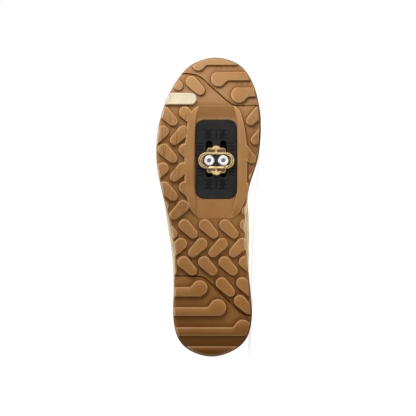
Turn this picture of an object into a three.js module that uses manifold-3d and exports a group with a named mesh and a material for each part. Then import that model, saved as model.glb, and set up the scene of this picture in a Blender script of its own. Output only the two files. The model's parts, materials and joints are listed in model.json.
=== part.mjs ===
// A right cycling shoe, empty, lying on its medial side with its sole towards -Y.
// It is drawn standing: X from heel to toe, Y to the medial side, Z up. The last step lays it down.
// Sizes are in millimetres.
import * as THREE from "three";
import { mergeVertices } from "three/addons/utils/BufferGeometryUtils.js";
import { ConvexHull } from "three/addons/math/ConvexHull.js";
import Module from "manifold-3d";

const wasm = await Module();
wasm.setup();

// Driving sizes
const soleLength = 297;
const ballWidth = 104;
const gap = 0.3;
const lugDepth = 4.2;
const toeSpring = 17;
const rubber = 7;
const heelStack = 32;
const collarHeight = 68;
const wall = 2.2;
const collarPad = 4.5;
const eyestayStep = 0.9;
const overlay = 1.2;
const featherInset = 3.6;
const insoleThickness = 4;
const tongueThickness = 4;
const laceWidth = 3;
const laceHole = 4.6;
const eyeletRows = 6;
const waistFlare = 4.2;

// Sole outline: each row is a section across the sole, its half widths as shares of the ball width
const outlineRows = [
  { at: 0, medial: -0.01, lateral: 0.01 },
  { at: 0.018, medial: 0.181, lateral: 0.205 },
  { at: 0.06, medial: 0.317, lateral: 0.33 },
  { at: 0.13, medial: 0.369, lateral: 0.379 },
  { at: 0.22, medial: 0.357, lateral: 0.376 },
  { at: 0.33, medial: 0.324, lateral: 0.367 },
  { at: 0.45, medial: 0.31, lateral: 0.414 },
  { at: 0.56, medial: 0.343, lateral: 0.493 },
  { at: 0.66, medial: 0.4265, lateral: 0.54 },
  { at: 0.76, medial: 0.455, lateral: 0.524 },
  { at: 0.85, medial: 0.434, lateral: 0.453 },
  { at: 0.925, medial: 0.365, lateral: 0.34 },
  { at: 0.978, medial: 0.243, lateral: 0.195 },
  { at: 1, medial: 0.029, lateral: -0.029 },
];

// Side profile: lift of the tread as a share of the toe spring, height of the foot as a share of the heel
// stack, thickness of the rubber as a share of its own size
const profileRows = [
  { at: 0, lift: 0.62, foot: 1.06, rubber: 1.25 },
  { at: 0.04, lift: 0.33, foot: 1.03, rubber: 1.15 },
  { at: 0.09, lift: 0.14, foot: 1, rubber: 1.05 },
  { at: 0.15, lift: 0.03, foot: 0.99, rubber: 1 },
  { at: 0.2, lift: 0, foot: 0.97, rubber: 1 },
  { at: 0.3, lift: 0, foot: 0.92, rubber: 1 },
  { at: 0.42, lift: 0.14, foot: 0.84, rubber: 0.95 },
  { at: 0.55, lift: 0.02, foot: 0.72, rubber: 0.95 },
  { at: 0.62, lift: 0, foot: 0.67, rubber: 1 },
  { at: 0.71, lift: 0, foot: 0.65, rubber: 1 },
  { at: 0.79, lift: 0.07, foot: 0.7, rubber: 1.05 },
  { at: 0.86, lift: 0.28, foot: 0.83, rubber: 1.15 },
  { at: 0.93, lift: 0.6, foot: 1.01, rubber: 1.35 },
  { at: 1, lift: 1, foot: 1.2, rubber: 1.6 },
];

// How far the midsole stands out past the sole outline, as shares of the waist flare
const flareRows = [
  { at: 0, medial: -0.3, lateral: -0.3 },
  { at: 0.2, medial: -0.25, lateral: -0.2 },
  { at: 0.27, medial: 0.1, lateral: 0.2 },
  { at: 0.34, medial: 0.6, lateral: 0.5 },
  { at: 0.42, medial: 1, lateral: 0.55 },
  { at: 0.47, medial: 0.8, lateral: 0.4 },
  { at: 0.53, medial: 0.1, lateral: -0.1 },
  { at: 0.6, medial: -0.25, lateral: -0.25 },
  { at: 1, medial: -0.35, lateral: -0.35 },
];

// Upper: a rib rises at each sole section, a cubic curve from the foot's edge to the collar or throat. Its
// first control point stands out by bulge, a share of the ball width, and up by rise, a share of the collar
// height. pad is the share of the full collar padding.
const ribRows = [
  { bulge: 0.06, rise: 0.3, pad: 0.8 },
  { bulge: 0.06, rise: 0.3, pad: 0.85 },
  { bulge: 0.05, rise: 0.29, pad: 1 },
  { bulge: 0.05, rise: 0.27, pad: 1 },
  { bulge: 0.055, rise: 0.26, pad: 1 },
  { bulge: 0.07, rise: 0.27, pad: 0.9 },
  { bulge: 0.085, rise: 0.3, pad: 0.35 },
  { bulge: 0.075, rise: 0.32, pad: 0 },
  { bulge: 0.055, rise: 0.33, pad: 0 },
  { bulge: 0.045, rise: 0.33, pad: 0 },
  { bulge: 0.045, rise: 0.33, pad: 0 },
  { bulge: 0.045, rise: 0.33, pad: 0 },
  { bulge: 0.045, rise: 0.33, pad: 0 },
  { bulge: 0.045, rise: 0.33, pad: 0 },
];
// The ribs' second control points: at is a share of the length, out a share of that side's half width, and
// high a share of the collar height above the heel stack
const shoulderRows = [
  { at: 0.017, out: 1, high: 0.7 },
  { at: 0.035, out: 0.78, high: 0.7 },
  { at: 0.074, out: 0.8, high: 0.66 },
  { at: 0.138, out: 0.87, high: 0.59 },
  { at: 0.222, out: 0.92, high: 0.55 },
  { at: 0.33, out: 0.98, high: 0.62 },
  { at: 0.435, out: 0.93, high: 0.76 },
  { at: 0.53, out: 0.79, high: 0.75 },
  { at: 0.625, out: 0.66, high: 0.59 },
  { at: 0.708, out: 0.56, high: 0.485 },
  { at: 0.785, out: 0.47, high: 0.43 },
  { at: 0.845, out: 0.4, high: 0.42 },
  { at: 0.885, out: 0.3, high: 0.43 },
  { at: 0.9, out: 1, high: 0.435 },
];
// The ribs' top ends, round the collar and down the throat: out is a share of the ball width
const edgeRows = [
  { at: 0.031, out: 0, high: 0.975 },
  { at: 0.044, out: 0.125, high: 0.955 },
  { at: 0.08, out: 0.23, high: 0.9 },
  { at: 0.148, out: 0.297, high: 0.8 },
  { at: 0.23, out: 0.315, high: 0.745 },
  { at: 0.32, out: 0.298, high: 0.835 },
  { at: 0.404, out: 0.255, high: 1.03 },
  { at: 0.49, out: 0.185, high: 0.955 },
  { at: 0.58, out: 0.14, high: 0.772 },
  { at: 0.653, out: 0.111, high: 0.617 },
  { at: 0.684, out: 0.09, high: 0.552 },
  { at: 0.697, out: 0.062, high: 0.525 },
  { at: 0.7025, out: 0.031, high: 0.515 },
  { at: 0.704, out: 0, high: 0.512 },
];

// Rails beside the cleat channel and the channel itself: edges as shares of the ball width, crest and floor
// as shares of the lug depth and of the plate's depth in the rubber
const railRows = [
  { at: 0.838, medial: 0.205, lateral: 0.138, crest: 0 },
  { at: 0.823, medial: 0.254, lateral: 0.197, crest: 0.35 },
  { at: 0.79, medial: 0.288, lateral: 0.24, crest: 0.95 },
  { at: 0.74, medial: 0.314, lateral: 0.257, crest: 1 },
  { at: 0.69, medial: 0.327, lateral: 0.272, crest: 1 },
  { at: 0.597, medial: 0.327, lateral: 0.274, crest: 1 },
  { at: 0.54, medial: 0.314, lateral: 0.253, crest: 1 },
  { at: 0.5, medial: 0.283, lateral: 0.228, crest: 0.9 },
  { at: 0.48, medial: 0.25, lateral: 0.195, crest: 0.5 },
  { at: 0.465, medial: 0.195, lateral: 0.14, crest: 0 },
];
const channelRows = [
  { at: 0.839, medial: 0.2, lateral: 0.138, floor: -0.02 },
  { at: 0.795, medial: 0.227, lateral: 0.16, floor: 1 },
  { at: 0.723, medial: 0.234, lateral: 0.175, floor: 1 },
  { at: 0.64, medial: 0.234, lateral: 0.181, floor: 1 },
  { at: 0.573, medial: 0.232, lateral: 0.179, floor: 1 },
  { at: 0.528, medial: 0.214, lateral: 0.167, floor: 1 },
  { at: 0.463, medial: 0.171, lateral: 0.131, floor: -0.02 },
];

// Tread: lugs are tapered pills. reach is the distance between the centres of their two round ends.
const lug = { bigRadius: 6.1, smallRadius: 4.8, reach: 12.3, turn: 45, cover: 1.5 };
// One row of the herringbone each: the big ends' place along the shoe, the most lateral one as a share of
// the ball width, how many there are and which way the small ends point, -1 to the medial side
const lugSpacing = 20.2;
const lugRows = [
  { at: 0.815, out: -0.463, count: 2, lean: -1 },
  { at: 0.751, out: -0.477, count: 2, lean: 1 },
  { at: 0.691, out: -0.466, count: 2, lean: -1 },
  { at: 0.629, out: -0.478, count: 2, lean: 1 },
  { at: 0.565, out: -0.463, count: 2, lean: -1 },
  { at: 0.503, out: -0.478, count: 2, lean: 1 },
  { at: 0.4395, out: -0.466, count: 5, lean: -1 },
  { at: 0.377, out: -0.304, count: 4, lean: 1 },
  { at: 0.3165, out: -0.474, count: 5, lean: -1 },
];
// Lugs beside the medial edge, in the toe and before the heel bars, placed as in the rows
const oddLugs = [
  { at: 0.8167, out: 0.442, lean: 1 },
  { at: 0.7523, out: 0.486, lean: 1 },
  { at: 0.69, out: 0.288, lean: -1 },
  { at: 0.6867, out: 0.486, lean: -1 },
  { at: 0.628, out: 0.466, lean: 1 },
  { at: 0.565, out: 0.29, lean: -1 },
  { at: 0.5157, out: 0.4, lean: 1 },
  { at: 0.246, out: 0.083, lean: -1 },
  { at: 0.2467, out: 0.276, lean: -1 },
  { at: 0.1873, out: 0.257, lean: -1 },
  { at: 0.918, out: -0.205, lean: -1 },
  { at: 0.934, out: -0.413, lean: -1 },
];
// Bars across the toe and heel: a straight strip that runs from a round knob to the medial side, +1, or to
// the lateral side, -1. at and out place the knob. The strip's flat edge lies over past the knob's end.
const bars = [
  { side: 1, at: 0.9747, out: -0.138, knob: 6.2, over: 3.3, strip: 10 },
  { side: 1, at: 0.9266, out: 0.052, knob: 7.6, over: 0, strip: 9.1 },
  { side: 1, at: 0.8734, out: 0.247, knob: 8, over: 0, strip: 9.8 },
  { side: -1, at: 0.23, out: -0.126, knob: 7.8, over: 0.7, strip: 9.6 },
  { side: -1, at: 0.165, out: 0.045, knob: 8.4, over: 0, strip: 8.8 },
  { side: -1, at: 0.0976, out: 0.283, knob: 8.2, over: 0, strip: 8.8 },
];
const barFillet = 3;
const heelBarWidth = 10.6;
// Thin grooves that split off the toe and heel zones, from the lateral to the medial edge
const groove = { width: 1.3, depth: 1.4 };
const toeGroove = [
  { at: 0.944, out: -0.58 }, { at: 0.944, out: -0.197 }, { at: 0.9327, out: -0.12 },
  { at: 0.85, out: 0.15 }, { at: 0.84, out: 0.202 }, { at: 0.8364, out: 0.58 },
];
const heelGroove = [
  { at: 0.2707, out: -0.58 }, { at: 0.2687, out: -0.125 }, { at: 0.2593, out: -0.067 },
  { at: 0.1562, out: 0.24 }, { at: 0.1428, out: 0.298 }, { at: 0.138, out: 0.58 },
];
// The base's edge and the rubber's side, rounded in steps: insets from the outline, heights above the base
const treadEdge = { tipInset: 3.2, inset: 2, roundInset: 0.9, round: 1.2, side: 3.4, rimInset: 1, rim: 0.8 };

// Cleat plate, with two slots at the standard 14 mm spacing, and what is bolted to it
const plateAt = 0.6626 * soleLength;
const plateOut = 0.031 * ballWidth;
const plateRecess = 2.8;
const plate = { length: 78.4, width: 41, corner: 8.5, thickness: rubber - plateRecess - 2 * gap };
const slot = { length: 36.2, width: 6.5, spacing: 14 };
const cleatSetback = 1.8;
const cleatAt = plateAt - cleatSetback;
const cleatBody = { length: 36, width: 16.2, height: 4.4, floor: 1.2 };
const cleatWing = { radius: 6.6, reach: 8.6, height: 3.2 };
const cleatEar = { width: 20.4, length: 20.4, height: 1.8, corner: 2 };
const pocket = { length: 27, width: 12 };
const washerThickness = 0.8;
const bolt = { head: 10.6, headHeight: 2.2, shank: 5, socket: 4, socketDepth: 1.5 };
// Cream tab let into the lateral edge before the toe
const tab = { at: 0.861, out: -0.154, width: 11.9, depth: 2.6 };

// Midsole: its side bulges in rings, part of the way up from the rubber to the foot
const midsoleRings = [{ part: 0.22, out: 0 }, { part: 0.55, out: 0.4 }, { part: 0.88, out: -0.4 }];
const midsoleInset = { low: 2, high: 1.6 };
// Collar padding: where it starts and is full on the rib, and how it thins to the rim
const padding = { from: 0.55, full: 0.85, rimFrom: 0.93, rim: 0.4, crown: 1 };
// Eyestay: the ribs' part above the step, from this section of the sole forwards
const eyestay = { low: 0.775, high: 0.8, fromRow: 5.6, fullRow: 6.4 };
// Eyelets: shares of the way round the upper, and how far they are in from the throat's edge
const eyeletLine = { first: 0.2445, last: 0.3435, inward: 9 };
// Edges of the toe cap and the heel counter, from the top down: high as for the ribs
const toeCapEdge = [
  { at: 0.874, high: 0.75 }, { at: 0.864, high: 0.32 }, { at: 0.855, high: 0.22 }, { at: 0.84, high: 0.13 },
  { at: 0.815, high: 0.05 }, { at: 0.78, high: -0.01 },
];
const heelCounterEdge = [
  { at: 0, high: 0.61 }, { at: 0.06, high: 0.53 }, { at: 0.13, high: 0.44 },
  { at: 0.18, high: 0.36 }, { at: 0.22, high: 0.25 }, { at: 0.25, high: 0.12 },
];
// Where each overlay's edge meets the foot, and where its cutter ends past the shoe
const toeCapFoot = { from: 0.735, to: 1.05 };
const heelCounterFoot = { from: 0.268, to: -0.05 };
// Tongue: from this section of the sole to just short of the toe's, under the ribs' tops, with a free flap
const tongue = { clear: 0.9, firstRow: 6.3, shortOf: 0.12, crown: 0.12, haunch: 0.8, edge: 0.5 };
const tongueSections = 11;
const tongueArms = [0.84, 0.92, 1];
const flap = { reach: 17, rise: 13, narrow: 0.16, droop: 0.12 };
const insoleClear = 0.8;
const laceClear = 0.5;
const laceEdge = 0.97;

// Detail of the faceted surfaces
const spanSteps = 2;
const arcSteps = 4;
const roundSides = 20;
const boltSides = 12;
const footSteps = 10;
const outerSteps = [0, 0.13, 0.28, 0.45, 0.62, eyestay.low, eyestay.high, 0.91, 1];
const innerSteps = [1, 0.92, 0.8, 0.6, 0.35, 0.12, 0];
const pillSteps = 4;
const stadiumSteps = 6;
const laceSteps = 6;
const laceSides = 4;
const knobSteps = 6;
const holeSides = 8;

// A smooth curve through one column of a table, which keeps the table's flat stretches flat
function column(rows, name) {
  const x = rows.map((row) => row.at);
  const y = rows.map((row) => row[name]);
  const secant = x.slice(1).map((next, i) => (y[i + 1] - y[i]) / (next - x[i]));
  const slope = x.map((_, i) => {
    if (i === 0 || i === x.length - 1) return 0;
    const before = secant[i - 1];
    const after = secant[i];
    return before * after > 0 ? (2 * before * after) / (before + after) : 0;
  });
  slope[0] = secant[0];
  slope[x.length - 1] = secant[x.length - 2];
  return (at) => {
    const i = Math.min(Math.max(x.findIndex((value) => value > at) - 1, 0), x.length - 2);
    const k = at >= x[x.length - 1] ? x.length - 2 : i;
    const span = x[k + 1] - x[k];
    const t = THREE.MathUtils.clamp((at - x[k]) / span, 0, 1);
    const h = t * t * (3 - 2 * t);
    return (
      y[k] * (1 - h) + y[k + 1] * h +
      span * (slope[k] * t * (1 - t) ** 2 - slope[k + 1] * t * t * (1 - t))
    );
  };
}

const lift = column(profileRows, "lift");
const footShare = column(profileRows, "foot");
const rubberShare = column(profileRows, "rubber");
const flare = { medial: column(flareRows, "medial"), lateral: column(flareRows, "lateral") };

// Heights of the sole's surfaces at a distance from the heel
const treadHeight = (x) => lugDepth + toeSpring * lift(x / soleLength);
const rubberTop = (x) => treadHeight(x) + rubber * rubberShare(x / soleLength);
const footHeight = (x) => heelStack * footShare(x / soleLength);

// A closed smooth hoop through one point for each row, up the medial side and back down the lateral side
function hoop(rows, place) {
  const medial = rows.map((row, i) => place(row, 1, i));
  const lateral = rows.map((row, i) => place(row, -1, i)).slice(1, -1).reverse();
  return new THREE.CatmullRomCurve3([...medial, ...lateral], true, "catmullrom", 0.5);
}

const outlineHoop = hoop(outlineRows, (row, side) =>
  new THREE.Vector3(row.at * soleLength, side * (side > 0 ? row.medial : row.lateral) * ballWidth, 0));
const around = 2 * (outlineRows.length - 1) * spanSteps;

// The outline's point and outward direction at a share of the way round, and the loops drawn from it
function outlineAt(share) {
  const point = outlineHoop.getPoint(share);
  const along = outlineHoop.getTangent(share);
  return { point, outward: new THREE.Vector3(-along.y, along.x, 0).normalize() };
}
const outline = Array.from({ length: around }, (_, i) => outlineAt(i / around));
const sideOf = (i) => (i <= around / 2 ? "medial" : "lateral");

// A loop at a distance outside the outline, with a height for each place along the shoe
function loopOf(offset, height) {
  return outline.map(({ point, outward }, i) => {
    const out = typeof offset === "function" ? offset(point.x / soleLength, sideOf(i)) : offset;
    const moved = point.clone().addScaledVector(outward, out);
    moved.z = height(moved.x);
    return moved;
  });
}

// Solids from points and triangles, and back to three.js geometry
function solidOf(points, triangles) {
  const vertProperties = new Float32Array(points.flatMap((p) => [p.x, p.y, p.z]));
  const triVerts = new Uint32Array(triangles.flat());
  return new wasm.Manifold(new wasm.Mesh({ numProp: 3, vertProperties, triVerts }));
}
function solidOfGeometry(geometry) {
  const plain = geometry.index ? geometry.toNonIndexed() : geometry.clone();
  plain.deleteAttribute("normal");
  plain.deleteAttribute("uv");
  const merged = mergeVertices(plain, 1e-4);
  return new wasm.Manifold(new wasm.Mesh({
    numProp: 3,
    vertProperties: merged.attributes.position.array,
    triVerts: new Uint32Array(merged.index.array),
  }));
}
function geometryOf(solid) {
  const mesh = solid.getMesh();
  const geometry = new THREE.BufferGeometry();
  const array = new Float32Array(mesh.numVert * 3);
  for (let i = 0; i < mesh.numVert; i++) {
    array.set(mesh.vertProperties.subarray(i * mesh.numProp, i * mesh.numProp + 3), i * 3);
  }
  geometry.setAttribute("position", new THREE.BufferAttribute(array, 3));
  geometry.setIndex(new THREE.BufferAttribute(new Uint32Array(mesh.triVerts), 1));
  geometry.computeVertexNormals();
  return geometry;
}
const joined = (solids) => solids.reduce((whole, next) => whole.add(next));

// Walls between stacked loops that all run the same way round
function wallTriangles(loopCount, size, closed) {
  const triangles = [];
  for (let k = 0; k < loopCount - (closed ? 0 : 1); k++) {
    const low = k * size;
    const high = ((k + 1) % loopCount) * size;
    for (let i = 0; i < size; i++) {
      const j = (i + 1) % size;
      triangles.push([low + i, high + j, low + j], [low + i, high + i, high + j]);
    }
  }
  return triangles;
}

// A solid between the first and the last of its loops, each closed by strips across from side to side
function stack(loops) {
  const size = loops[0].length;
  const triangles = wallTriangles(loops.length, size, false);
  const top = (loops.length - 1) * size;
  for (let i = 0; i < size / 2; i++) {
    const j = i + 1;
    const far = (size - i) % size;
    const near = size - j;
    const low = [[i, j, near], [i, near, far]].filter((t) => new Set(t).size === 3);
    triangles.push(...low, ...low.map(([a, b, c]) => [top + a, top + c, top + b]));
  }
  return solidOf(loops.flat(), triangles);
}

// A solid of boxes in a row along the shoe, each section with its two sides and its two heights
function trough(rows, low, high) {
  const points = rows.flatMap((row) => {
    const x = row.at * soleLength;
    const medial = row.medial * ballWidth;
    const lateral = -row.lateral * ballWidth;
    return [
      new THREE.Vector3(x, lateral, low(x, row)), new THREE.Vector3(x, medial, low(x, row)),
      new THREE.Vector3(x, medial, high(x, row)), new THREE.Vector3(x, lateral, high(x, row)),
    ];
  });
  const last = (rows.length - 1) * 4;
  const triangles = [[0, 1, 2], [0, 2, 3], [last, last + 2, last + 1], [last, last + 3, last + 2]];
  for (let k = 0; k < last; k += 4) {
    for (let i = 0; i < 4; i++) {
      const j = (i + 1) % 4;
      triangles.push([k + i, k + 4 + j, k + j], [k + i, k + 4 + i, k + 4 + j]);
    }
  }
  return solidOf(points, triangles);
}

// A plan shape made a prism, its top following the tread's height plus cover
function treadPrism(shape, cover) {
  const depth = 1;
  const geometry = new THREE.ExtrudeGeometry(shape, { depth, bevelEnabled: false });
  const position = geometry.attributes.position;
  for (let i = 0; i < position.count; i++) {
    const below = position.getZ(i) < depth / 2;
    position.setZ(i, below ? -lugDepth : treadHeight(position.getX(i)) + cover);
  }
  return solidOfGeometry(geometry);
}

// Shapes in plan
function pill(bigX, bigY, bigRadius, smallX, smallY, smallRadius, steps = pillSteps) {
  const away = Math.atan2(smallY - bigY, smallX - bigX);
  const open = Math.acos((bigRadius - smallRadius) / Math.hypot(smallX - bigX, smallY - bigY));
  const arc = (x, y, radius, from, to) => Array.from({ length: steps + 1 }, (_, i) => {
    const angle = THREE.MathUtils.lerp(from, to, i / steps);
    return new THREE.Vector2(x + radius * Math.cos(angle), y + radius * Math.sin(angle));
  });
  return new THREE.Shape([
    ...arc(smallX, smallY, smallRadius, away - open, away + open),
    ...arc(bigX, bigY, bigRadius, away + open, away - open + 2 * Math.PI),
  ]);
}
function stadium(x, y, alongX, alongY) {
  const radius = Math.min(alongX, alongY) / 2;
  const reachX = alongX / 2 - radius;
  const reachY = alongY / 2 - radius;
  return pill(x - reachX, y - reachY, radius, x + reachX, y + reachY, radius, stadiumSteps);
}
function roundedRectangle(x, y, alongX, alongY, corner) {
  const shape = new THREE.Shape();
  const quarter = Math.PI / 2;
  const reachX = alongX / 2 - corner;
  const reachY = alongY / 2 - corner;
  [[1, 1], [-1, 1], [-1, -1], [1, -1]].forEach(([signX, signY], i) => {
    shape.absarc(x + signX * reachX, y + signY * reachY, corner, i * quarter, (i + 1) * quarter, false);
  });
  return shape;
}
function extruded(shape, low, high) {
  const settings = { depth: high - low, bevelEnabled: false, curveSegments: arcSteps };
  const geometry = new THREE.ExtrudeGeometry(shape, settings);
  return solidOfGeometry(geometry.translate(0, 0, low));
}

// One lug: the big end's place and the way that the small end points
function lugShape(x, y, lean) {
  const turn = THREE.MathUtils.degToRad(lug.turn);
  const smallX = x - lug.reach * Math.sin(turn);
  const smallY = y - lean * lug.reach * Math.cos(turn);
  return pill(x, y, lug.bigRadius, smallX, smallY, lug.smallRadius);
}

// A bar: the strip runs out past the sole's edge, and a small fillet leads from it round the knob
function barShape({ side, at, out, knob, over, strip }) {
  const knobAt = at * soleLength;
  const knobOut = out * ballWidth;
  const end = side * ballWidth;
  const hook = -side;
  const flat = knobAt - hook * (knob + over);
  const edge = flat + hook * strip;
  const filletX = edge + hook * barFillet - knobAt;
  const reach = knob + barFillet;
  const filletY = Math.sqrt(reach ** 2 - filletX ** 2);
  const past = Math.atan2(filletY, hook * filletX);
  const border = [new THREE.Vector2(flat, end), new THREE.Vector2(flat, knobOut)];
  for (let i = 0; i <= knobSteps; i++) {
    const turn = (i / knobSteps) * (Math.PI + past);
    border.push(new THREE.Vector2(
      knobAt - hook * knob * Math.cos(turn),
      knobOut - side * knob * Math.sin(turn),
    ));
  }
  border.push(new THREE.Vector2(
    knobAt + filletX - hook * barFillet * Math.cos(past / 2),
    knobOut + side * (filletY - barFillet * Math.sin(past / 2)),
  ));
  border.push(new THREE.Vector2(edge, knobOut + side * filletY), new THREE.Vector2(edge, end));
  return new THREE.Shape(border);
}

// A groove: a strip of even width along a line of points
function grooveShape(points) {
  const line = points.map(({ at, out }) => new THREE.Vector2(at * soleLength, out * ballWidth));
  const sides = [1, -1].map((sign) => line.map((point, i) => {
    const before = line[Math.max(i - 1, 0)];
    const after = line[Math.min(i + 1, line.length - 1)];
    const along = after.clone().sub(before).normalize();
    const half = (sign * groove.width) / 2;
    return new THREE.Vector2(point.x - along.y * half, point.y + along.x * half);
  }));
  return new THREE.Shape([...sides[0], ...sides[1].reverse()]);
}

// Every lug: the rows of the herringbone, then the odd ones
function lugShapes() {
  const place = ({ at, out, lean }, across = 0) => lugShape(at * soleLength, out * ballWidth + across, lean);
  const inRows = lugRows.flatMap((row) =>
    Array.from({ length: row.count }, (_, i) => place(row, i * lugSpacing)));
  return [...inRows, ...oddLugs.map((odd) => place(odd))];
}

// The outsole: its base, its lugs cut to the outline, rails, channel, grooves and the seats of plate and tab
function outsoleForm(withLugs) {
  const bottom = withLugs
    ? loopOf(-treadEdge.tipInset, (x) => treadHeight(x) - lugDepth)
    : loopOf(-treadEdge.inset, treadHeight);
  return stack([
    bottom,
    loopOf(-treadEdge.roundInset, (x) => treadHeight(x) + treadEdge.round),
    loopOf(0, (x) => treadHeight(x) + treadEdge.side),
    loopOf(0, (x) => rubberTop(x) - treadEdge.rim),
    loopOf(-treadEdge.rimInset, rubberTop),
  ]);
}
const plateFace = treadHeight(plateAt) + plateRecess;
const deep = 60;

function tabShape(grow) {
  const middleOut = tab.out * ballWidth - ballWidth / 2;
  return stadium(tab.at * soleLength, middleOut, tab.width + 2 * grow, ballWidth + 2 * grow);
}
function plateShape(grow) {
  return roundedRectangle(
    plateAt, plateOut, plate.length + 2 * grow, plate.width + 2 * grow, plate.corner + grow);
}
function makeOutsole() {
  const raised = [
    ...lugShapes(),
    ...bars.map(barShape),
    roundedRectangle(heelBarWidth / 2, 0, heelBarWidth, 2 * ballWidth, 0),
  ].map((shape) => treadPrism(shape, lug.cover));
  const lugs = joined(raised).intersect(outsoleForm(true));
  const rails = trough(
    railRows,
    (x, row) => treadHeight(x) - lugDepth * row.crest,
    (x) => treadHeight(x) + lug.cover,
  );
  const channel = trough(
    channelRows,
    () => -lugDepth,
    (x, row) => treadHeight(x) + (plateFace - gap - treadHeight(x)) * row.floor,
  );
  const grooves = [toeGroove, heelGroove].map((points) => treadPrism(grooveShape(points), groove.depth));
  return outsoleForm(false)
    .add(lugs)
    .add(rails)
    .subtract(channel)
    .subtract(joined(grooves))
    .subtract(extruded(plateShape(gap), -deep, deep))
    .subtract(treadPrism(tabShape(gap), tab.depth + gap));
}
const makeTab = () => treadPrism(tabShape(0), tab.depth).intersect(outsoleForm(true));

// The plate and what is bolted to it
function makePlate() {
  const slots = [-1, 1].map((side) =>
    extruded(stadium(plateAt, plateOut + (side * slot.spacing) / 2, slot.length, slot.width), -deep, deep));
  return extruded(plateShape(0), plateFace, plateFace + plate.thickness).subtract(joined(slots));
}
const cleatTop = plateFace - gap;
const pocketFloor = cleatTop - cleatBody.floor;
const boltOut = [-1, 1].map((side) => plateOut + (side * slot.spacing) / 2);
function disc(x, y, radius, low, high, sides) {
  const geometry = new THREE.CylinderGeometry(radius, radius, high - low, sides);
  return solidOfGeometry(geometry.rotateX(Math.PI / 2).translate(x, y, (low + high) / 2));
}
const boltHoles = () => boltOut.map((y) => disc(cleatAt, y, bolt.shank / 2 + gap, -deep, deep, boltSides));
function makeCleat() {
  const { length, width, height } = cleatBody;
  const wingFace = cleatTop - cleatWing.height;
  const wings = [-1, 1].map((end) =>
    disc(cleatAt + end * cleatWing.reach, plateOut, cleatWing.radius, wingFace, cleatTop, roundSides));
  const ears = roundedRectangle(cleatAt, plateOut, cleatEar.length, cleatEar.width, cleatEar.corner);
  return extruded(stadium(cleatAt, plateOut, width, length), cleatTop - height, cleatTop)
    .add(joined(wings))
    .add(extruded(ears, cleatTop - cleatEar.height, cleatTop))
    .subtract(extruded(stadium(cleatAt, plateOut, pocket.width, pocket.length), -deep, pocketFloor))
    .subtract(joined(boltHoles()));
}
const washerTop = pocketFloor - gap;
function makeWasher() {
  const shape = stadium(cleatAt, plateOut, pocket.width - 2 * gap, pocket.length - 2 * gap);
  return extruded(shape, washerTop - washerThickness, washerTop).subtract(joined(boltHoles()));
}
function makeBolt(y) {
  const headTop = washerTop - washerThickness - gap;
  const socketTop = headTop - bolt.headHeight + bolt.socketDepth;
  const head = disc(cleatAt, y, bolt.head / 2, headTop - bolt.headHeight, headTop, roundSides);
  const shank = disc(cleatAt, y, bolt.shank / 2, socketTop, plateFace + plate.thickness, boltSides);
  return head.add(shank).subtract(disc(cleatAt, y, bolt.socket / Math.sqrt(3), -deep, socketTop, 6));
}

// The midsole stands on the rubber, and its waist stands out past it
const midsoleOut = (share, side) => waistFlare * flare[side](share);
function makeMidsole() {
  const low = (x) => rubberTop(x) + gap;
  const between = (part) => (x) => low(x) + (footHeight(x) - low(x)) * part;
  const at = (out) => (share, side) => midsoleOut(share, side) + out;
  return stack([
    loopOf(-midsoleInset.low, low),
    ...midsoleRings.map(({ part, out }) => loopOf(at(out), between(part))),
    loopOf(at(-midsoleInset.high), footHeight),
  ]);
}

// The upper's hoops: the foot's edge, the two control hoops and the top edge, with the padding of each rib
const sections = 2 * (outlineRows.length - 1);
const rowShare = (side, i) => (side > 0 ? i : sections - i) / sections;
const sideName = (side) => (side > 0 ? "medial" : "lateral");
function besideFoot(side, i, out) {
  const { point, outward } = outlineAt(rowShare(side, i));
  return point.clone().addScaledVector(outward, out - featherInset);
}
const footHoop = hoop(outlineRows, (row, side, i) =>
  besideFoot(side, i, midsoleOut(row.at, sideName(side))));
const bulgeHoop = hoop(outlineRows, (row, side, i) => {
  const { bulge, rise } = ribRows[i];
  const point = besideFoot(side, i, Math.min(midsoleOut(row.at, sideName(side)), 0) + bulge * ballWidth);
  return point.setZ(footHeight(point.x) + rise * collarHeight);
});
const shoulderHoop = hoop(outlineRows, (row, side, i) => {
  const { at, out, high } = shoulderRows[i];
  const half = row[sideName(side)] * ballWidth;
  return new THREE.Vector3(at * soleLength, side * half * out, heelStack + high * collarHeight);
});
const edgeHoop = hoop(outlineRows, (row, side, i) => {
  const { at, out, high } = edgeRows[i];
  return new THREE.Vector3(at * soleLength, side * out * ballWidth, heelStack + high * collarHeight);
});
const padHoop = hoop(outlineRows, (row, side, i) => new THREE.Vector3(ribRows[i].pad, side * (i + 1), 0));

// A point of the upper's outside: share of the way round, and from 0 at the feather line to 1 at the top
function ribPoint(share, up) {
  const low = footHoop.getPoint(share);
  low.z = footHeight(low.x) + gap;
  const down = 1 - up;
  return low.multiplyScalar(down ** 3)
    .addScaledVector(bulgeHoop.getPoint(share), 3 * down * down * up)
    .addScaledVector(shoulderHoop.getPoint(share), 3 * down * up * up)
    .addScaledVector(edgeHoop.getPoint(share), up ** 3);
}
function ribNormal(share, up) {
  const step = 0.002;
  const high = Math.min(up + step, 1);
  const rise = ribPoint(share, high).sub(ribPoint(share, high - 2 * step));
  const along = ribPoint((share + step) % 1, up).sub(ribPoint((share - step + 1) % 1, up));
  return rise.cross(along).normalize();
}
function upperPoint(share, up, offset) {
  return ribPoint(share, up).addScaledVector(ribNormal(share, up), offset);
}
const { smoothstep } = THREE.MathUtils;
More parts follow.
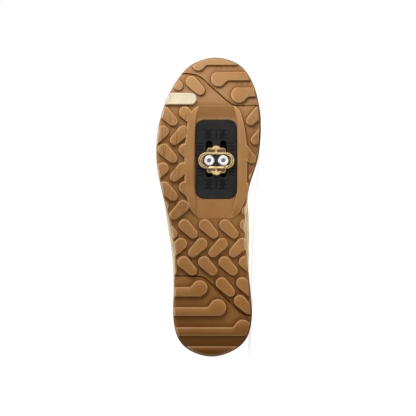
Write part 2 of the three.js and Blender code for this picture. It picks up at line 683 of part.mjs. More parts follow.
// The eyestay's step on the outside, and the padding on the inside
function stepAt(share, up) {
  const row = Math.min(share, 1 - share) * sections;
  return up >= eyestay.high ? eyestayStep * smoothstep(row, eyestay.fromRow, eyestay.fullRow) : 0;
}
function padAt(share, up) {
  const pad = THREE.MathUtils.clamp(padHoop.getPoint(share).x, 0, 1);
  const thin = 1 - (1 - padding.rim) * smoothstep(up, padding.rimFrom, 1);
  return collarPad * pad * smoothstep(up, padding.from, padding.full) * thin;
}
const ribShares = Array.from({ length: around }, (_, i) => i / around);
const hoopOf = (place) => ribShares.map((share) => place(share));

function makeUpper() {
  const outer = outerSteps.map((up) => hoopOf((share) => upperPoint(share, up, stepAt(share, up))));
  const inner = innerSteps.map((up) => hoopOf((share) => upperPoint(share, up, -wall - padAt(share, up))));
  inner[inner.length - 1].forEach((point) => point.setZ(footHeight(point.x) + gap));
  const rim = outer[outer.length - 1].map((point, i) => {
    const rise = ribPoint(ribShares[i], 1).sub(ribPoint(ribShares[i], padding.rimFrom)).normalize();
    return point.clone().add(inner[0][i]).multiplyScalar(0.5).addScaledVector(rise, padding.crown);
  });
  const loops = [...outer, rim, ...inner];
  const body = solidOf(loops.flat(), wallTriangles(loops.length, around, true));
  const holeDepth = 4 * wall + 2 * eyestayStep;
  const holes = eyelets().flatMap((pair) => pair.map(({ point, normal }) => {
    const geometry = new THREE.CylinderGeometry(laceHole / 2, laceHole / 2, holeDepth, holeSides);
    const turn = new THREE.Quaternion().setFromUnitVectors(new THREE.Vector3(0, 1, 0), normal);
    return solidOfGeometry(geometry.applyQuaternion(turn).translate(point.x, point.y, point.z));
  }));
  return body.subtract(joined(holes));
}

// The insole fills the floor of the upper, just inside its wall
function makeInsole() {
  const loopAt = (up, height) => hoopOf((share) => {
    const point = upperPoint(share, up, -wall - insoleClear);
    return point.setZ(footHeight(point.x) + height);
  });
  const topUp = insoleThickness / (3 * ribRows[0].rise * collarHeight);
  return stack([loopAt(0, gap), loopAt(topUp, gap + insoleThickness)]);
}

// The eyelets: evenly along the throat, a fixed way in from its edge
function eyelets() {
  return Array.from({ length: eyeletRows }, (_, i) => {
    const along = THREE.MathUtils.lerp(eyeletLine.first, eyeletLine.last, i / (eyeletRows - 1));
    return [along, 1 - along].map((share) => {
      const reach = edgeHoop.getPoint(share).distanceTo(shoulderHoop.getPoint(share));
      const up = 1 - eyeletLine.inward / (3 * reach);
      return { share, point: upperPoint(share, up, eyestayStep), normal: ribNormal(share, up) };
    });
  });
}

// Overlays: a shell round the upper's form, cut by a shape seen from the side that ends along the foot
function upperForm(offset) {
  const steps = outerSteps.filter((up) => up !== eyestay.low);
  return stack(steps.map((up) => hoopOf((share) => upperPoint(share, up, offset + stepAt(share, up)))));
}
function overlayOf(edge, { from, to }) {
  const place = ({ at, high }) => new THREE.Vector2(at * soleLength, heelStack + high * collarHeight);
  const foot = Array.from({ length: footSteps + 1 }, (_, i) => {
    const x = THREE.MathUtils.lerp(from, to, i / footSteps) * soleLength;
    return new THREE.Vector2(x, footHeight(x) + 1.5 * gap);
  });
  const shape = new THREE.Shape([...edge.map(place), ...foot, place({ at: to, high: edge[0].high })]);
  const cutter = new THREE.ExtrudeGeometry(shape, { depth: 2 * ballWidth, bevelEnabled: false });
  cutter.translate(0, 0, -ballWidth).rotateX(Math.PI / 2);
  return upperForm(gap + overlay).subtract(upperForm(gap)).intersect(solidOfGeometry(cutter));
}
const makeToeCap = () => overlayOf(toeCapEdge, toeCapFoot);
const makeHeelCounter = () => overlayOf(heelCounterEdge, heelCounterFoot);

// The tongue lies under the throat: a sheet from beneath one eyestay, over the instep, to beneath the other
function tongueSection(row) {
  const share = row / sections;
  const arm = (s) => tongueArms.map((up) => upperPoint(s, up, -wall - tongue.clear - padAt(s, up)));
  const medial = arm(share);
  const lateral = arm(1 - share).reverse();
  const [near, far] = [medial[medial.length - 1], lateral[0]];
  const crown = near.clone().lerp(far, 0.5);
  crown.z += tongue.crown * (near.y - far.y);
  const haunch = (edge) =>
    edge.clone().lerp(crown, 0.5).setZ(THREE.MathUtils.lerp(edge.z, crown.z, tongue.haunch));
  return [...medial, haunch(near), crown, haunch(far), ...lateral];
}
function tongueGrid() {
  const lastRow = outlineRows.length - 1 - tongue.shortOf;
  const under = Array.from({ length: tongueSections }, (_, i) =>
    tongueSection(THREE.MathUtils.lerp(tongue.firstRow, lastRow, i / (tongueSections - 1))));
  const free = [1, 0.5].map((part) => under[0].map(({ x, y, z }) => new THREE.Vector3(
    x - flap.reach * part,
    y * (1 - flap.narrow * part),
    z + (flap.rise - flap.droop * Math.abs(y)) * part,
  )));
  return [...free, ...under];
}
// A closed sheet: a grid of points and the same grid moved in by the thickness
function thickSheet(grid, thickness) {
  const rows = grid.length;
  const size = grid[0].length;
  const normalAt = (k, i) => {
    const along = grid[Math.min(k + 1, rows - 1)][i].clone().sub(grid[Math.max(k - 1, 0)][i]);
    const across = grid[k][Math.min(i + 1, size - 1)].clone().sub(grid[k][Math.max(i - 1, 0)]);
    return across.cross(along).normalize();
  };
  const upper = grid.flat();
  const lower = grid.flatMap((row, k) => row.map((point, i) =>
    point.clone().addScaledVector(normalAt(k, i), -thickness(i))));
  const shift = upper.length;
  const triangles = [];
  for (let k = 0; k + 1 < rows; k++) {
    for (let i = 0; i + 1 < size; i++) {
      const a = k * size + i;
      const faces = [[a, a + 1, a + size + 1], [a, a + size + 1, a + size]];
      triangles.push(...faces, ...faces.map(([p, q, r]) => [p + shift, r + shift, q + shift]));
    }
  }
  const border = [];
  for (let i = 0; i + 1 < size; i++) border.push([i, i + 1]);
  for (let k = 0; k + 1 < rows; k++) border.push([k * size + size - 1, (k + 1) * size + size - 1]);
  for (let i = size - 1; i > 0; i--) border.push([(rows - 1) * size + i, (rows - 1) * size + i - 1]);
  for (let k = rows - 1; k > 0; k--) border.push([k * size, (k - 1) * size]);
  border.forEach(([a, b]) => triangles.push([a, a + shift, b + shift], [a, b + shift, b]));
  return solidOf([...upper, ...lower], triangles);
}
function makeTongue() {
  const grid = tongueGrid();
  const isEdge = (i) => i === 0 || i === grid[0].length - 1;
  return thickSheet(grid, (i) => tongueThickness * (isEdge(i) ? tongue.edge : 1));
}

// The laces cross from each eyelet to the next one up on the other side
function laceOver(from, to) {
  const lift = laceWidth / 2 + gap + laceClear;
  const start = from.point.clone().addScaledVector(from.normal, lift);
  const end = to.point.clone().addScaledVector(to.normal, lift);
  const [first, last] = [from, to].map(({ share }) =>
    upperPoint(share, laceEdge, eyestayStep + lift + laceClear));
  const crown = first.clone().add(last).multiplyScalar(0.5);
  crown.z += tongue.crown * Math.abs(first.y - last.y);
  const path = new THREE.CatmullRomCurve3([start, first, crown, last, end], false, "catmullrom", 0.5);
  const section = new THREE.Shape(Array.from({ length: laceSides }, (_, i) => {
    const angle = (2 * Math.PI * i) / laceSides;
    return new THREE.Vector2((laceWidth / 2) * Math.cos(angle), (laceWidth / 2) * Math.sin(angle));
  }));
  const geometry = new THREE.ExtrudeGeometry(section, { steps: laceSteps, extrudePath: path });
  return solidOfGeometry(geometry);
}
function makeLaces() {
  const pairs = eyelets();
  const crossings = [laceOver(pairs[eyeletRows - 1][0], pairs[eyeletRows - 1][1])];
  for (let i = 0; i + 1 < eyeletRows; i++) {
    crossings.push(laceOver(pairs[i][0], pairs[i + 1][1]), laceOver(pairs[i][1], pairs[i + 1][0]));
  }
  return joined(crossings);
}

// Materials
const gum = new THREE.MeshStandardMaterial({ color: "#b98552", roughness: 0.6, metalness: 0 });
const cream = new THREE.MeshStandardMaterial({ color: "#e6dcbc", roughness: 0.6, metalness: 0 });
const foam = new THREE.MeshStandardMaterial({ color: "#e4dab9", roughness: 0.8, metalness: 0 });
const cloth = new THREE.MeshStandardMaterial({ color: "#e2d9bf", roughness: 0.85, metalness: 0 });
const film = new THREE.MeshStandardMaterial({ color: "#d9cfae", roughness: 0.6, metalness: 0 });
const cord = new THREE.MeshStandardMaterial({ color: "#ece4cb", roughness: 0.9, metalness: 0 });
const nylon = new THREE.MeshStandardMaterial({ color: "#2b2b2a", roughness: 0.5, metalness: 0 });
const brass = new THREE.MeshStandardMaterial({ color: "#d9b57a", roughness: 0.35, metalness: 1 });
const steel = new THREE.MeshStandardMaterial({ color: "#cfcfd0", roughness: 0.3, metalness: 1 });
const darkSteel = new THREE.MeshStandardMaterial({ color: "#3a3a3a", roughness: 0.5, metalness: 1 });

// Densities in grams per cubic centimetre
const pieces = [
  { name: "outsole", solid: makeOutsole(), material: gum, density: 1.12 },
  { name: "side_tab", solid: makeTab(), material: cream, density: 1.15 },
  { name: "cleat_plate", solid: makePlate(), material: nylon, density: 1.35 },
  { name: "cleat", solid: makeCleat(), material: brass, density: 8.4 },
  { name: "cleat_washer", solid: makeWasher(), material: darkSteel, density: 7.8 },
  { name: "bolt_lateral", solid: makeBolt(boltOut[0]), material: steel, density: 7.8 },
  { name: "bolt_medial", solid: makeBolt(boltOut[1]), material: steel, density: 7.8 },
  { name: "midsole", solid: makeMidsole(), material: foam, density: 0.2 },
  { name: "insole", solid: makeInsole(), material: cloth, density: 0.2 },
  { name: "upper", solid: makeUpper(), material: cloth, density: 0.55 },
  { name: "toe_cap", solid: makeToeCap(), material: film, density: 1.1 },
  { name: "heel_counter", solid: makeHeelCounter(), material: film, density: 1.1 },
  { name: "tongue", solid: makeTongue(), material: cloth, density: 0.3 },
  { name: "laces", solid: makeLaces(), material: cord, density: 0.7 },
];

const shoe = new THREE.Group();
pieces.forEach(({ name, solid, material }) => {
  const mesh = new THREE.Mesh(geometryOf(solid), material.clone());
  mesh.name = name;
  shoe.add(mesh);
});

// Laying down: from its medial side, the shoe rolls over its hull until it rests on the face below its
// weight
function pointsOf(mesh) {
  const { position } = mesh.geometry.attributes;
  const pointAt = (_, i) => new THREE.Vector3().fromBufferAttribute(position, i);
  return Array.from({ length: position.count }, pointAt);
}
function balancePoint() {
  const moment = new THREE.Vector3();
  let weight = 0;
  pieces.forEach(({ density }, k) => {
    const { geometry } = shoe.children[k];
    const points = pointsOf(shoe.children[k]);
    for (let i = 0; i < geometry.index.count; i += 3) {
      const [a, b, c] = [0, 1, 2].map((step) => points[geometry.index.getX(i + step)]);
      const share = (density * a.dot(b.clone().cross(c))) / 6;
      weight += share;
      moment.addScaledVector(a.clone().add(b).add(c), share / 4);
    }
  });
  return moment.divideScalar(weight);
}
function restingDown() {
  const hull = new ConvexHull().setFromPoints(shoe.children.flatMap(pointsOf));
  const centre = balancePoint();
  let down = new THREE.Vector3(0, 1, 0);
  for (let steady = false; !steady;) {
    const reached = hull.faces
      .filter(({ normal }) => normal.dot(down) > 0)
      .map(({ normal, constant }) => ({ normal, reach: (constant - normal.dot(centre)) / normal.dot(down) }))
      .reduce((best, next) => (next.reach < best.reach ? next : best));
    steady = reached.normal.dot(down) > 1 - 1e-9;
    down = reached.normal.clone();
  }
  return down;
}
const below = restingDown();
const shoeUp = new THREE.Vector3(0, 0, 1).projectOnPlane(below).normalize();
const floorUp = below.clone().negate();
const forward = shoeUp.clone().cross(floorUp);
const lying = new THREE.Matrix4().makeBasis(forward, shoeUp, floorUp).transpose();
shoe.children.forEach(({ geometry }) => geometry.applyMatrix4(lying));
const box = new THREE.Box3().setFromObject(shoe);
const middle = box.getCenter(new THREE.Vector3());
shoe.children.forEach(({ geometry }) => geometry.translate(-middle.x, -middle.y, -box.min.z));

export default shoe;
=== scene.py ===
import json
import math

import bpy
import numpy as np
from mathutils import Matrix, Vector
from mathutils.geometry import delaunay_2d_cdt


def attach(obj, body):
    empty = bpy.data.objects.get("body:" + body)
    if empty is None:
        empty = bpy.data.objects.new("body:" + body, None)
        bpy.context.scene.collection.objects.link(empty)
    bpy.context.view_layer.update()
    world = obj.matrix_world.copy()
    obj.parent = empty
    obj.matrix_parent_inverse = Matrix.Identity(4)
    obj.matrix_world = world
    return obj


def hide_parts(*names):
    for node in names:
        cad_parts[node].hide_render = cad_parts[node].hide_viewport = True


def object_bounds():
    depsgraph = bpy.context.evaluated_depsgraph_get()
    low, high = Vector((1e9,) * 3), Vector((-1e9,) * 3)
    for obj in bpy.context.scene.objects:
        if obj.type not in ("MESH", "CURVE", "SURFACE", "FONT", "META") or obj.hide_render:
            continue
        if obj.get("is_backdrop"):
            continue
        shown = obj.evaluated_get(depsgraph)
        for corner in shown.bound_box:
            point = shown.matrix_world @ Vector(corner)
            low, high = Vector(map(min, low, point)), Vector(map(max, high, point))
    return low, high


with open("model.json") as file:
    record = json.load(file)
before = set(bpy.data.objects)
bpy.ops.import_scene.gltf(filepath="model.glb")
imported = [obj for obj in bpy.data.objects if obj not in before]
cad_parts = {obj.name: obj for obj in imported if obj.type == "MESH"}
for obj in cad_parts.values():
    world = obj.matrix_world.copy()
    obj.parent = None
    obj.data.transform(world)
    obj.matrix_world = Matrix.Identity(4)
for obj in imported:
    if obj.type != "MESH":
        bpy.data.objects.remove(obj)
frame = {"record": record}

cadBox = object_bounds()

# The shoe is drawn standing, in mm: X from heel to toe, Y to its medial side, Z up.
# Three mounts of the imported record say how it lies, in metres.
mounts = {mount["name"]: mount for mount in frame["record"]["mounts"]}
drawnAt = {"ball_tread": (203, -26, 0), "heel_tread": (67.5, -25, 0)}


def lyingPlace():
    ball, heel = (Vector(mounts[name]["pos_m"]) * 1000 for name in ("ball_tread", "heel_tread"))
    up = -Vector(mounts["ball_tread"]["axis"]).normalized()
    seen = ball - heel
    seen = (seen - up * seen.dot(up)).normalized()
    drawn = (Vector(drawnAt["ball_tread"]) - Vector(drawnAt["heel_tread"])).normalized()
    drawnUp = Vector((0, 0, 1))
    here = Matrix((seen, up.cross(seen), up)).transposed()
    there = Matrix((drawn, drawnUp.cross(drawn), drawnUp))
    turned = np.array(here @ there)
    return turned, np.array(ball) - turned @ np.array(drawnAt["ball_tread"], float)


turn, shift = lyingPlace()


def lie(points):  # standing mm to lying metres
    return (np.asarray(points, float) @ turn.T + shift) / 1000


# Main sizes and sections of the sole, the same as the solids have. Each list runs from heel to toe.
sole = {
    "length": 297, "width": 104, "lugDepth": 4.2, "toeSpring": 17, "rubber": 7, "heelStack": 32,
    "gap": 0.3, "flare": 4.2,
    "outlineAt": [0, 0.018, 0.06, 0.13, 0.22, 0.33, 0.45, 0.56, 0.66, 0.76, 0.85, 0.925, 0.978, 1],
    "medial": [-0.01, 0.181, 0.317, 0.369, 0.357, 0.324, 0.31, 0.343, 0.4265, 0.455, 0.434, 0.365, 0.243,
               0.029],
    "lateral": [0.01, 0.205, 0.33, 0.379, 0.376, 0.367, 0.414, 0.493, 0.54, 0.524, 0.453, 0.34, 0.195,
                -0.029],
    "profileAt": [0, 0.04, 0.09, 0.15, 0.2, 0.3, 0.42, 0.55, 0.62, 0.71, 0.79, 0.86, 0.93, 1],
    "lift": [0.62, 0.33, 0.14, 0.03, 0, 0, 0.14, 0.02, 0, 0, 0.07, 0.28, 0.6, 1],
    "foot": [1.06, 1.03, 1, 0.99, 0.97, 0.92, 0.84, 0.72, 0.67, 0.65, 0.7, 0.83, 1.01, 1.2],
    "rubberShare": [1.25, 1.15, 1.05, 1, 1, 1, 0.95, 0.95, 1, 1, 1.05, 1.15, 1.35, 1.6],
    "flareAt": [0, 0.2, 0.27, 0.34, 0.42, 0.47, 0.53, 0.6, 1],
    "flareMedial": [-0.3, -0.25, 0.1, 0.6, 1, 0.8, 0.1, -0.25, -0.35],
    "flareLateral": [-0.3, -0.2, 0.2, 0.5, 0.55, 0.4, -0.1, -0.25, -0.35],
}
soleLength, ballWidth, gap = sole["length"], sole["width"], sole["gap"]


def column(at, value):  # a smooth curve through a list, which keeps its flat stretches flat
    at, value = np.array(at, float), np.array(value, float)
    secant = np.diff(value) / np.diff(at)
    before, after = secant[:-1], secant[1:]
    both = before * after > 0
    inner = np.where(both, 2 * before * after / np.where(both, before + after, 1), 0)
    slope = np.concatenate([[secant[0]], inner, [secant[-1]]])

    def read(where):
        where = np.asarray(where, float)
        k = np.clip(np.searchsorted(at, where, side="right") - 1, 0, len(at) - 2)
        span = at[k + 1] - at[k]
        t = np.clip((where - at[k]) / span, 0, 1)
        h = t * t * (3 - 2 * t)
        bend = slope[k] * t * (1 - t) ** 2 - slope[k + 1] * t * t * (1 - t)
        return value[k] * (1 - h) + value[k + 1] * h + span * bend
    return read


def smooth(value, low, high):
    t = np.clip((np.asarray(value, float) - low) / (high - low), 0, 1)
    return t * t * (3 - 2 * t)


liftShare = column(sole["profileAt"], sole["lift"])
footShare = column(sole["profileAt"], sole["foot"])
rubberShare = column(sole["profileAt"], sole["rubberShare"])
flareOf = {side: column(sole["flareAt"], sole["flare" + side]) for side in ("Medial", "Lateral")}


def treadHeight(x):
    return sole["lugDepth"] + sole["toeSpring"] * liftShare(x / soleLength)


def rubberTop(x):
    return treadHeight(x) + sole["rubber"] * rubberShare(x / soleLength)


def footHeight(x):
    return sole["heelStack"] * footShare(x / soleLength)


def hoop(points):  # a closed smooth curve through the points
    points = np.array(points, float)
    count = len(points)

    def read(share):
        place = (np.asarray(share, float) % 1) * count
        k = np.floor(place).astype(int) % count
        t = (place - np.floor(place))[..., None]
        before, here, after, beyond = (points[(k + step) % count] for step in (-1, 0, 1, 2))
        leave, reach = (after - before) / 2, (beyond - here) / 2
        return (here + leave * t + (3 * (after - here) - 2 * leave - reach) * t ** 2
                + (2 * (here - after) + leave + reach) * t ** 3)
    return read


def spline(points):  # an open smooth curve through the points, read from 0 to 1
    points = np.array(points, float)
    points = np.concatenate([[2 * points[0] - points[1]], points, [2 * points[-1] - points[-2]]])
    last = len(points) - 4

    def read(share):
        place = np.clip(np.asarray(share, float), 0, 1) * (last + 1)
        k = np.minimum(np.floor(place).astype(int), last)
        t = (place - k)[..., None]
        before, here, after, beyond = (points[k + step] for step in range(4))
        leave, reach = (after - before) / 2, (beyond - here) / 2
        return (here + leave * t + (3 * (after - here) - 2 * leave - reach) * t ** 2
                + (2 * (here - after) + leave + reach) * t ** 3)
    return read


rowCount = len(sole["outlineAt"])
sections = 2 * (rowCount - 1)


def bothSides(place):  # up the medial side, then back down the lateral side
    return [place(i, 1) for i in range(rowCount)] + [place(i, -1) for i in range(rowCount - 2, 0, -1)]


def halfWidth(i, side):
    return sole["medial" if side > 0 else "lateral"][i] * ballWidth


outlineLine = hoop(bothSides(lambda i, side: (sole["outlineAt"][i] * soleLength, side * halfWidth(i, side), 0)))


def outlineAt(share):
    share = np.asarray(share, float)
    along = outlineLine(share + 1e-4) - outlineLine(share - 1e-4)
    outward = np.stack([-along[..., 1], along[..., 0], np.zeros_like(along[..., 0])], -1)
    return outlineLine(share), outward / np.linalg.norm(outward, axis=-1, keepdims=True)


def ring(shares, offset, height):  # a loop beside the outline; offset and height may follow the place
    point, outward = outlineAt(shares)
    out = offset(point[:, 0] / soleLength, shares <= 0.5) if callable(offset) else offset
    moved = point + outward * np.broadcast_to(out, len(shares))[:, None]
    moved[:, 2] = height(moved[:, 0])
    return moved


def midsoleOut(at, medial):
    return sole["flare"] * np.where(medial, flareOf["Medial"](at), flareOf["Lateral"](at))


# Distances inside plan shapes, in mm, positive inside
def insideDisc(x, y, centreX, centreY, radius):
    return radius - np.hypot(x - centreX, y - centreY)


def insidePill(x, y, big, bigRadius, small, smallRadius):
    reach = math.hypot(small[0] - big[0], small[1] - big[1])
    alongX, alongY = (small[0] - big[0]) / reach, (small[1] - big[1]) / reach
    up = (x - big[0]) * alongX + (y - big[1]) * alongY
    side = np.abs((y - big[1]) * alongX - (x - big[0]) * alongY)
    lean = (bigRadius - smallRadius) / reach
    rise = math.sqrt(1 - lean * lean)
    k = up * rise - side * lean
    return np.where(k < 0, bigRadius - np.hypot(side, up),
                    np.where(k > rise * reach, smallRadius - np.hypot(side, up - reach),
                             bigRadius - side * rise - up * lean))


def insideBox(x, y, centreX, centreY, alongX, alongY, corner):
    overX = np.abs(x - centreX) - alongX / 2 + corner
    overY = np.abs(y - centreY) - alongY / 2 + corner
    return corner - np.hypot(np.maximum(overX, 0), np.maximum(overY, 0)) - np.minimum(np.maximum(overX, overY), 0)


def insideLoop(x, y, loop):  # a polygon given by its points in order
    x, y = np.asarray(x, float), np.asarray(y, float)
    nearest = np.full(x.shape, np.inf)
    odd = np.zeros(x.shape, bool)
    for (startX, startY), (endX, endY) in zip(loop, np.roll(loop, -1, 0)):
        runX, runY = endX - startX, endY - startY
        t = np.clip(((x - startX) * runX + (y - startY) * runY) / (runX ** 2 + runY ** 2 + 1e-12), 0, 1)
        nearest = np.minimum(nearest, (x - startX - t * runX) ** 2 + (y - startY - t * runY) ** 2)
        if startY != endY:
            odd ^= ((startY > y) != (endY > y)) & (x < startX + (y - startY) * runX / runY)
    return np.where(odd, 1, -1) * np.sqrt(nearest)


def lineDistance(x, y, line):
    nearest = np.full(np.shape(x), np.inf)
    for (startX, startY), (endX, endY) in zip(line[:-1], line[1:]):
        runX, runY = endX - startX, endY - startY
        t = np.clip(((x - startX) * runX + (y - startY) * runY) / (runX ** 2 + runY ** 2), 0, 1)
        nearest = np.minimum(nearest, np.hypot(x - startX - t * runX, y - startY - t * runY))
    return nearest


def roundJoin(one, other, radius):  # the join of two shapes with a fillet between them
    return (np.hypot(np.maximum(radius + one, 0), np.maximum(radius + other, 0))
            - np.maximum(radius, -np.maximum(one, other)))


# Level lines of a distance read on a grid, as closed lines of evenly spaced points
def levelLines(field, gridX, gridY, level, spacing):
    high = field > level
    mixed = high[:-1, :-1].astype(int) + high[1:, :-1] + high[:-1, 1:] + high[1:, 1:]
    links = {}

    def crossing(i, j, alongX):
        nextI, nextJ = (i + 1, j) if alongX else (i, j + 1)
        return (alongX, i, j) if high[i, j] != high[nextI, nextJ] else None

    for i, j in zip(*np.nonzero((mixed > 0) & (mixed < 4))):
        found = [crossing(i, j, True), crossing(i + 1, j, False), crossing(i, j + 1, True), crossing(i, j, False)]
        found = [edge for edge in found if edge]
        if len(found) == 4 and (field[i:i + 2, j:j + 2].mean() > level) == high[i, j]:
            found = found[1:] + found[:1]
        for one, other in zip(found[::2], found[1::2]):
            links.setdefault(one, []).append(other)
            links.setdefault(other, []).append(one)

    def placeOf(edge):
        alongX, i, j = edge
        nextI, nextJ = (i + 1, j) if alongX else (i, j + 1)
        t = (level - field[i, j]) / (field[nextI, nextJ] - field[i, j])
        return (gridX[i] + (gridX[nextI] - gridX[i]) * t, gridY[j] + (gridY[nextJ] - gridY[j]) * t)

    lines = []
    while links:
        start, ends = links.popitem()
        walk, last, here = [start], start, ends[0]
        while here in links:
            walk.append(here)
            ends = links.pop(here)
            last, here = here, ends[0] if ends[1] == last else ends[1]
        lines.append(evenly(np.array([placeOf(edge) for edge in walk]), spacing))
    return [line for line in lines if len(line) > 5]


def evenly(loop, spacing):
    closed = np.concatenate([loop, loop[:1]])
    length = np.concatenate([[0], np.cumsum(np.hypot(*np.diff(closed, axis=0).T))])
    count = max(int(round(length[-1] / spacing)), 3)
    at = np.arange(count) * length[-1] / count
    return np.stack([np.interp(at, length, closed[:, axis]) for axis in (0, 1)], 1)


# A triangle sheet that has every given line among its edges. The lines lie beside each other.
def linedSheet(lines, loosePoints, keep):
    points, edges, mark = [], [], []
    for number, line in enumerate(lines):
        start, count = len(points), len(line)
        points.extend(Vector(p) for p in line)
        edges.extend((start + k, start + (k + 1) % count) for k in range(count))
        mark.extend((number, k) for k in range(count))
    points.extend(Vector(p) for p in loosePoints)
    mark.extend((-1, 0) for _ in loosePoints)
    made, _, faces, origin = delaunay_2d_cdt(points, edges, [], 0, 1e-5)[:4]
    made = np.array([tuple(p) for p in made])
    faces = np.array(faces)
    middle = made[faces].mean(1)
    faces = faces[keep(middle[:, 0], middle[:, 1]) > 0]
    used = np.unique(faces)
    renumber = np.full(len(made), -1)
    renumber[used] = np.arange(len(used))
    marks = [mark[origin[k][0]] if origin[k] else (-1, 0) for k in used]
    return made[used], renumber[faces], marks


def hexPoints(lowX, highX, lowY, highY, spacing):
    x, y = np.meshgrid(np.arange(lowX, highX, spacing), np.arange(lowY, highY, spacing * 0.87), indexing="ij")
    x = x + (np.arange(x.shape[1]) % 2) * spacing / 2
    return x.ravel(), y.ravel()


# Pieces
def srgb(code):
    parts = [int(code[i:i + 2], 16) / 255 for i in (1, 3, 5)]
    return tuple(p / 12.92 if p <= 0.04045 else ((p + 0.055) / 1.055) ** 2.4 for p in parts) + (1,)


def newPiece(name, points, faces, material, nodes=(), sharp=35, standing=True):
    mesh = bpy.data.meshes.new(name)
    place = lie(points) if standing else points
    mesh.from_pydata([tuple(p) for p in place], [], [tuple(int(v) for v in face) for face in faces])
    mesh.validate()
    mesh.polygons.foreach_set("use_smooth", [True] * len(mesh.polygons))
    if sharp:
        mesh.set_sharp_from_angle(angle=math.radians(sharp))
    piece = bpy.data.objects.new(name, mesh)
    bpy.context.scene.collection.objects.link(piece)
    mesh.materials.append(material)
    return dress(piece, nodes)


def dress(piece, nodes):
    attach(piece, "root")
    if nodes:
        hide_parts(*nodes)
    return piece


def standingPoints(piece):  # the piece's points, back in standing mm
    found = np.empty(3 * len(piece.data.vertices))
    piece.data.vertices.foreach_get("co", found)
    return (found.reshape(-1, 3) * 1000 - shift) @ turn


def giveShare(piece, name, value):  # a number from 0 to 1 at each point, for a material to read
    piece.data.attributes.new(name, "FLOAT", "POINT").data.foreach_set("value", value)


def gridFaces(rows, columns, closed=False):  # quads between rows of points; closed joins each row's ends
    faces = []
    for k in range(rows - 1):
        for i in range(columns if closed else columns - 1):
            j = (i + 1) % columns
            faces.append((k * columns + i, k * columns + j, (k + 1) * columns + j, (k + 1) * columns + i))
    return faces


def flipped(faces):
    return [tuple(reversed(tuple(face))) for face in faces]


def stripCap(count, start):  # closes a loop of points by strips from side to side
    faces = []
    for i in range(count // 2):
        ringed = [i, i + 1, (count - i - 1) % count, (count - i) % count]
        kept = [v for k, v in enumerate(ringed) if v not in ringed[:k]]
        if len(kept) > 2:
            faces.append(tuple(start + v for v in kept))
    return faces


# Surface patterns: one function adds a node with its settings and links
def addNode(tree, kind, settings=None, links=None):
    node = tree.nodes.new(kind)
    for name, value in (settings or {}).items():
        if hasattr(node, name):
            setattr(node, name, value)
        else:
            node.inputs[name].default_value = value
    for name, source in (links or {}).items():
        tree.links.new(source, node.inputs[name])
    return node


def newMaterial(name, settings):
    material = bpy.data.materials.new(name)
    material.use_nodes = True
    tree = material.node_tree
    tree.nodes.clear()
    shader = addNode(tree, "ShaderNodeBsdfPrincipled", settings)
    output = addNode(tree, "ShaderNodeOutputMaterial")
    tree.links.new(shader.outputs["BSDF"], output.inputs["Surface"])
    return material, tree, shader


def mixColours(tree, one, other, share):
    mix = addNode(tree, "ShaderNodeMix", {"data_type": "RGBA"})
    for socket, value in ((mix.inputs[6], one), (mix.inputs[7], other)):
        if isinstance(value, tuple):
            socket.default_value = value
        else:
            tree.links.new(value, socket)
    tree.links.new(share, mix.inputs[0])
    return mix.outputs[2]


def spread(tree, source, low, high, toLow=0.0, toHigh=1.0):
    return addNode(tree, "ShaderNodeMapRange",
                   {"From Min": low, "From Max": high, "To Min": toLow, "To Max": toHigh},
                   {"Value": source}).outputs["Result"]


# Gum rubber, compression moulded: translucent brown with a soft shine, fine sand from the mould and faint cloudy
# patches; scuffs from the floor are paler.
# Painted light: lighter toward the toe and darker toward the heel, painted shade beside the lugs and in the grooves, a
# painted highlight on the lugs' rims.
gumRubber = {
    "base": "#a26e36", "toe": "#a47c51", "patch": "#966530", "dust": "#ae8552", "hollow": "#633808", "edge": "#cba06c",
    "roughness": 0.5, "specular": 0.13, "grainMm": 0.5, "patchMm": 26, "scuffMm": 3, "bump": 0.09,
    "dragMm": 1.1, "drag": "#7a4e26",
}


